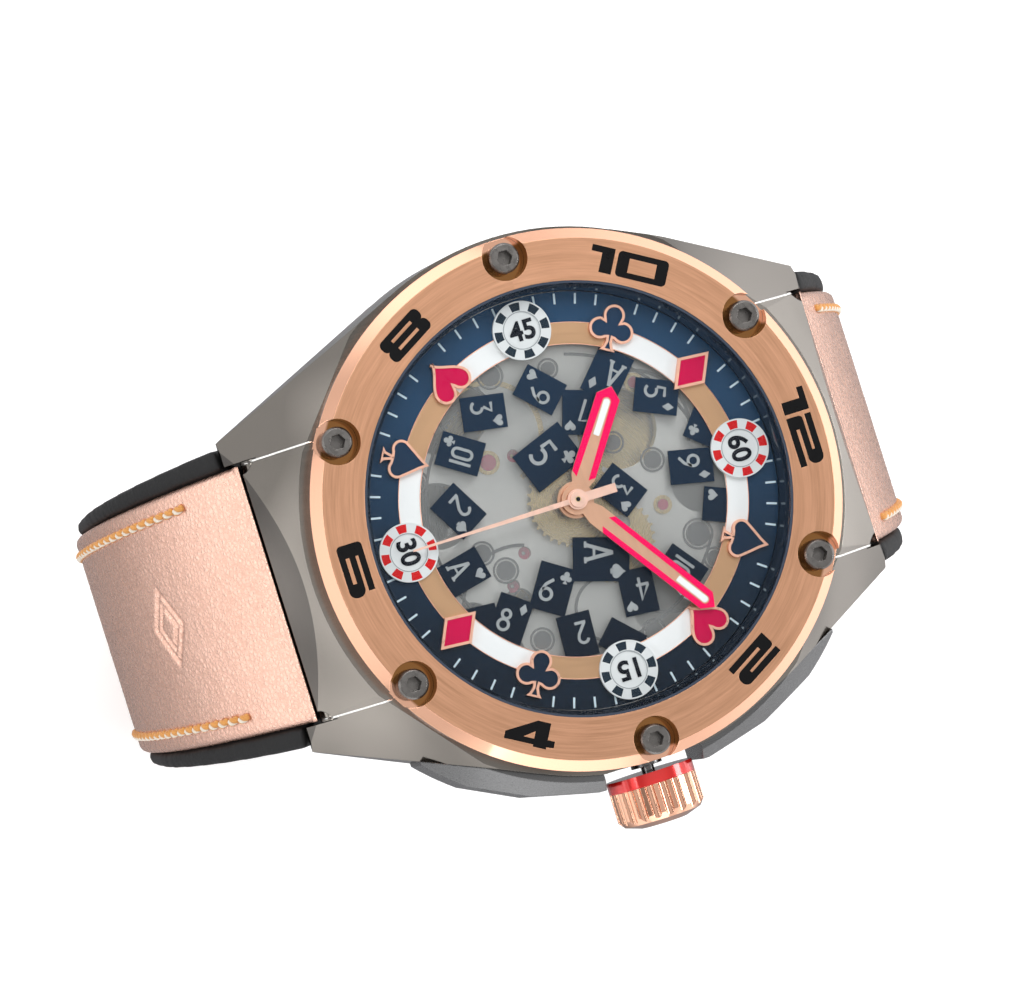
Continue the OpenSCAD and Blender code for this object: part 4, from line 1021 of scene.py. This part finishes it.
# ---------------------------------------------------------------- floor, light, camera
fm = Mat("floor_white").set(metal=0.0, rough=0.32, spec=0.25)
f = fm.noise(fm.scaled(14, 14, 14), 1.0, 3.0)
ray = fm.add("ShaderNodeLightPath")
shade = fm.mix(f, (0.86, 0.86, 0.865), (0.90, 0.90, 0.90))
far = fm.add("ShaderNodeVectorMath", operation="LENGTH")
fm.link(fm.obj, far.inputs[0])
spread = fm.remap(far.outputs["Value"], 0.05, 0.20, 0.0, 1.0, True)
# painted shade: as seen in reflections the floor is dark near the watch and pale further out
fm.color(fm.mix(ray.outputs["Is Glossy Ray"], shade, fm.mix(spread, (0.30, 0.30, 0.31), (0.95, 0.95, 0.96))))
fm.set(emit_color=(1.0, 1.0, 1.0))
# painted light: further out the floor glows in reflections
glow = fm.math("MULTIPLY", fm.math("MULTIPLY", ray.outputs["Is Glossy Ray"], spread), 0.35)
fm.link(fm.math("ADD", fm.math("MULTIPLY", ray.outputs["Is Camera Ray"], 0.34), glow), fm.b.inputs["Emission Strength"])
bm = bmesh.new()
bmesh.ops.create_grid(bm, x_segments=24, y_segments=24, size=2.5)
me = bpy.data.meshes.new("floor")
bm.to_mesh(me)
bm.free()
me.materials.append(fm.m)
floor = bpy.data.objects.new("floor", me)
floor.location = (0, 0, -0.00002)
bpy.context.scene.collection.objects.link(floor)

w = bpy.data.worlds.new("studio")
bpy.context.scene.world = w
w.use_nodes = True
nt = w.node_tree
bg = nt.nodes["Background"]
tc = nt.nodes.new("ShaderNodeTexCoord")
sep = nt.nodes.new("ShaderNodeSeparateXYZ")
nt.links.new(tc.outputs["Generated"], sep.inputs[0])
def ramp_of(stops):
    r = nt.nodes.new("ShaderNodeValToRGB")
    els = r.color_ramp.elements
    els[0].position, els[0].color = stops[0][0], (stops[0][1],) * 3 + (1,)
    els[1].position, els[1].color = stops[-1][0], (stops[-1][1],) * 3 + (1,)
    for p_, v in stops[1:-1]:
        els.new(p_).color = (v, v, v, 1)
    return r


mr = nt.nodes.new("ShaderNodeMapRange")
mr.inputs["From Min"].default_value = -1.0
mr.inputs["From Max"].default_value = 1.0
nt.links.new(sep.outputs[2], mr.inputs["Value"])
dark_side = ramp_of([(0.0, 0.35), (0.465, 0.5), (0.492, 3.0), (0.53, 3.0), (0.56, 0.6), (0.59, 1.9), (0.615, 1.9), (0.635, 0.24), (0.80, 0.20), (0.90, 0.40), (0.965, 0.85), (1.0, 0.95)])
light_side = ramp_of([(0.0, 0.7), (0.5, 1.7), (0.62, 1.15), (0.74, 0.60), (0.86, 0.50), (0.94, 0.80), (1.0, 0.95)])
nt.links.new(mr.outputs["Result"], dark_side.inputs[0])
nt.links.new(mr.outputs["Result"], light_side.inputs[0])
my = nt.nodes.new("ShaderNodeMapRange")
my.inputs["From Min"].default_value = -0.9
my.inputs["From Max"].default_value = 0.9
nt.links.new(sep.outputs[1], my.inputs["Value"])
ramp = nt.nodes.new("ShaderNodeMix")
ramp.data_type = "RGBA"
nt.links.new(my.outputs["Result"], ramp.inputs["Factor"])
nt.links.new(dark_side.outputs[0], ramp.inputs[6])
nt.links.new(light_side.outputs[0], ramp.inputs[7])
plain = nt.nodes.new("ShaderNodeBackground")
plain.inputs[0].default_value = (0.93, 0.93, 0.935, 1)
plain.inputs[1].default_value = 1.0
lp = nt.nodes.new("ShaderNodeLightPath")
mx = nt.nodes.new("ShaderNodeMixShader")
nt.links.new(ramp.outputs[2], bg.inputs[0])
bg.inputs[1].default_value = 0.8
nt.links.new(lp.outputs["Is Camera Ray"], mx.inputs[0])
nt.links.new(bg.outputs[0], mx.inputs[1])
nt.links.new(plain.outputs[0], mx.inputs[2])
nt.links.new(mx.outputs[0], nt.nodes["World Output"].inputs["Surface"])


def area(name, loc, target, size, power, color=(1, 1, 1), size_y=None):
    d = bpy.data.lights.new(name, "AREA")
    d.energy = power
    d.color = color
    d.shape = "RECTANGLE"
    d.size = size
    d.size_y = size_y or size
    o = bpy.data.objects.new(name, d)
    o.location = loc
    o.rotation_mode = "QUATERNION"
    o.rotation_quaternion = (Vector(target) - Vector(loc)).to_track_quat("-Z", "Y")
    bpy.context.scene.collection.objects.link(o)
    return o


area("key", (-0.42, 0.10, 0.62), (0, 0, 0.05), 0.42, 2.9)
area("side_12", (0.10, 0.62, 0.34), (0, 0, 0.05), 0.34, 2.2, size_y=0.22)
area("side_6", (-0.10, -0.55, 0.40), (0, -0.01, 0.05), 0.30, 1.3, size_y=0.22)
area("fill", (0.55, -0.1, 0.30), (0, 0, 0.05), 0.40, 0.8)

c = Vector((0, -math.sin(math.radians(12)), math.cos(math.radians(12))))
pv = Vector((0, math.cos(math.radians(12)), math.sin(math.radians(12))))
ex = Vector((1, 0, 0))
right = (pv * 0.9537 + ex * 0.3008).normalized()
up = c.cross(right).normalized()
cam_d = bpy.data.cameras.new("camera")
cam_d.lens = 227.3
cam_d.sensor_width = 36.0
cam_d.clip_start = 0.02
cam_d.clip_end = 20
cam = bpy.data.objects.new("camera", cam_d)
pos = Vector((0, 0, HEAD * MM)) + c * 0.5 + right * (-5.31 * MM) + up * (-0.32 * MM)
cam.matrix_world = Matrix((
    (right.x, up.x, c.x, pos.x),
    (right.y, up.y, c.y, pos.y),
    (right.z, up.z, c.z, pos.z),
    (0, 0, 0, 1)))
bpy.context.scene.collection.objects.link(cam)
bpy.context.scene.camera = cam
bpy.context.scene.view_settings.view_transform = "Standard"
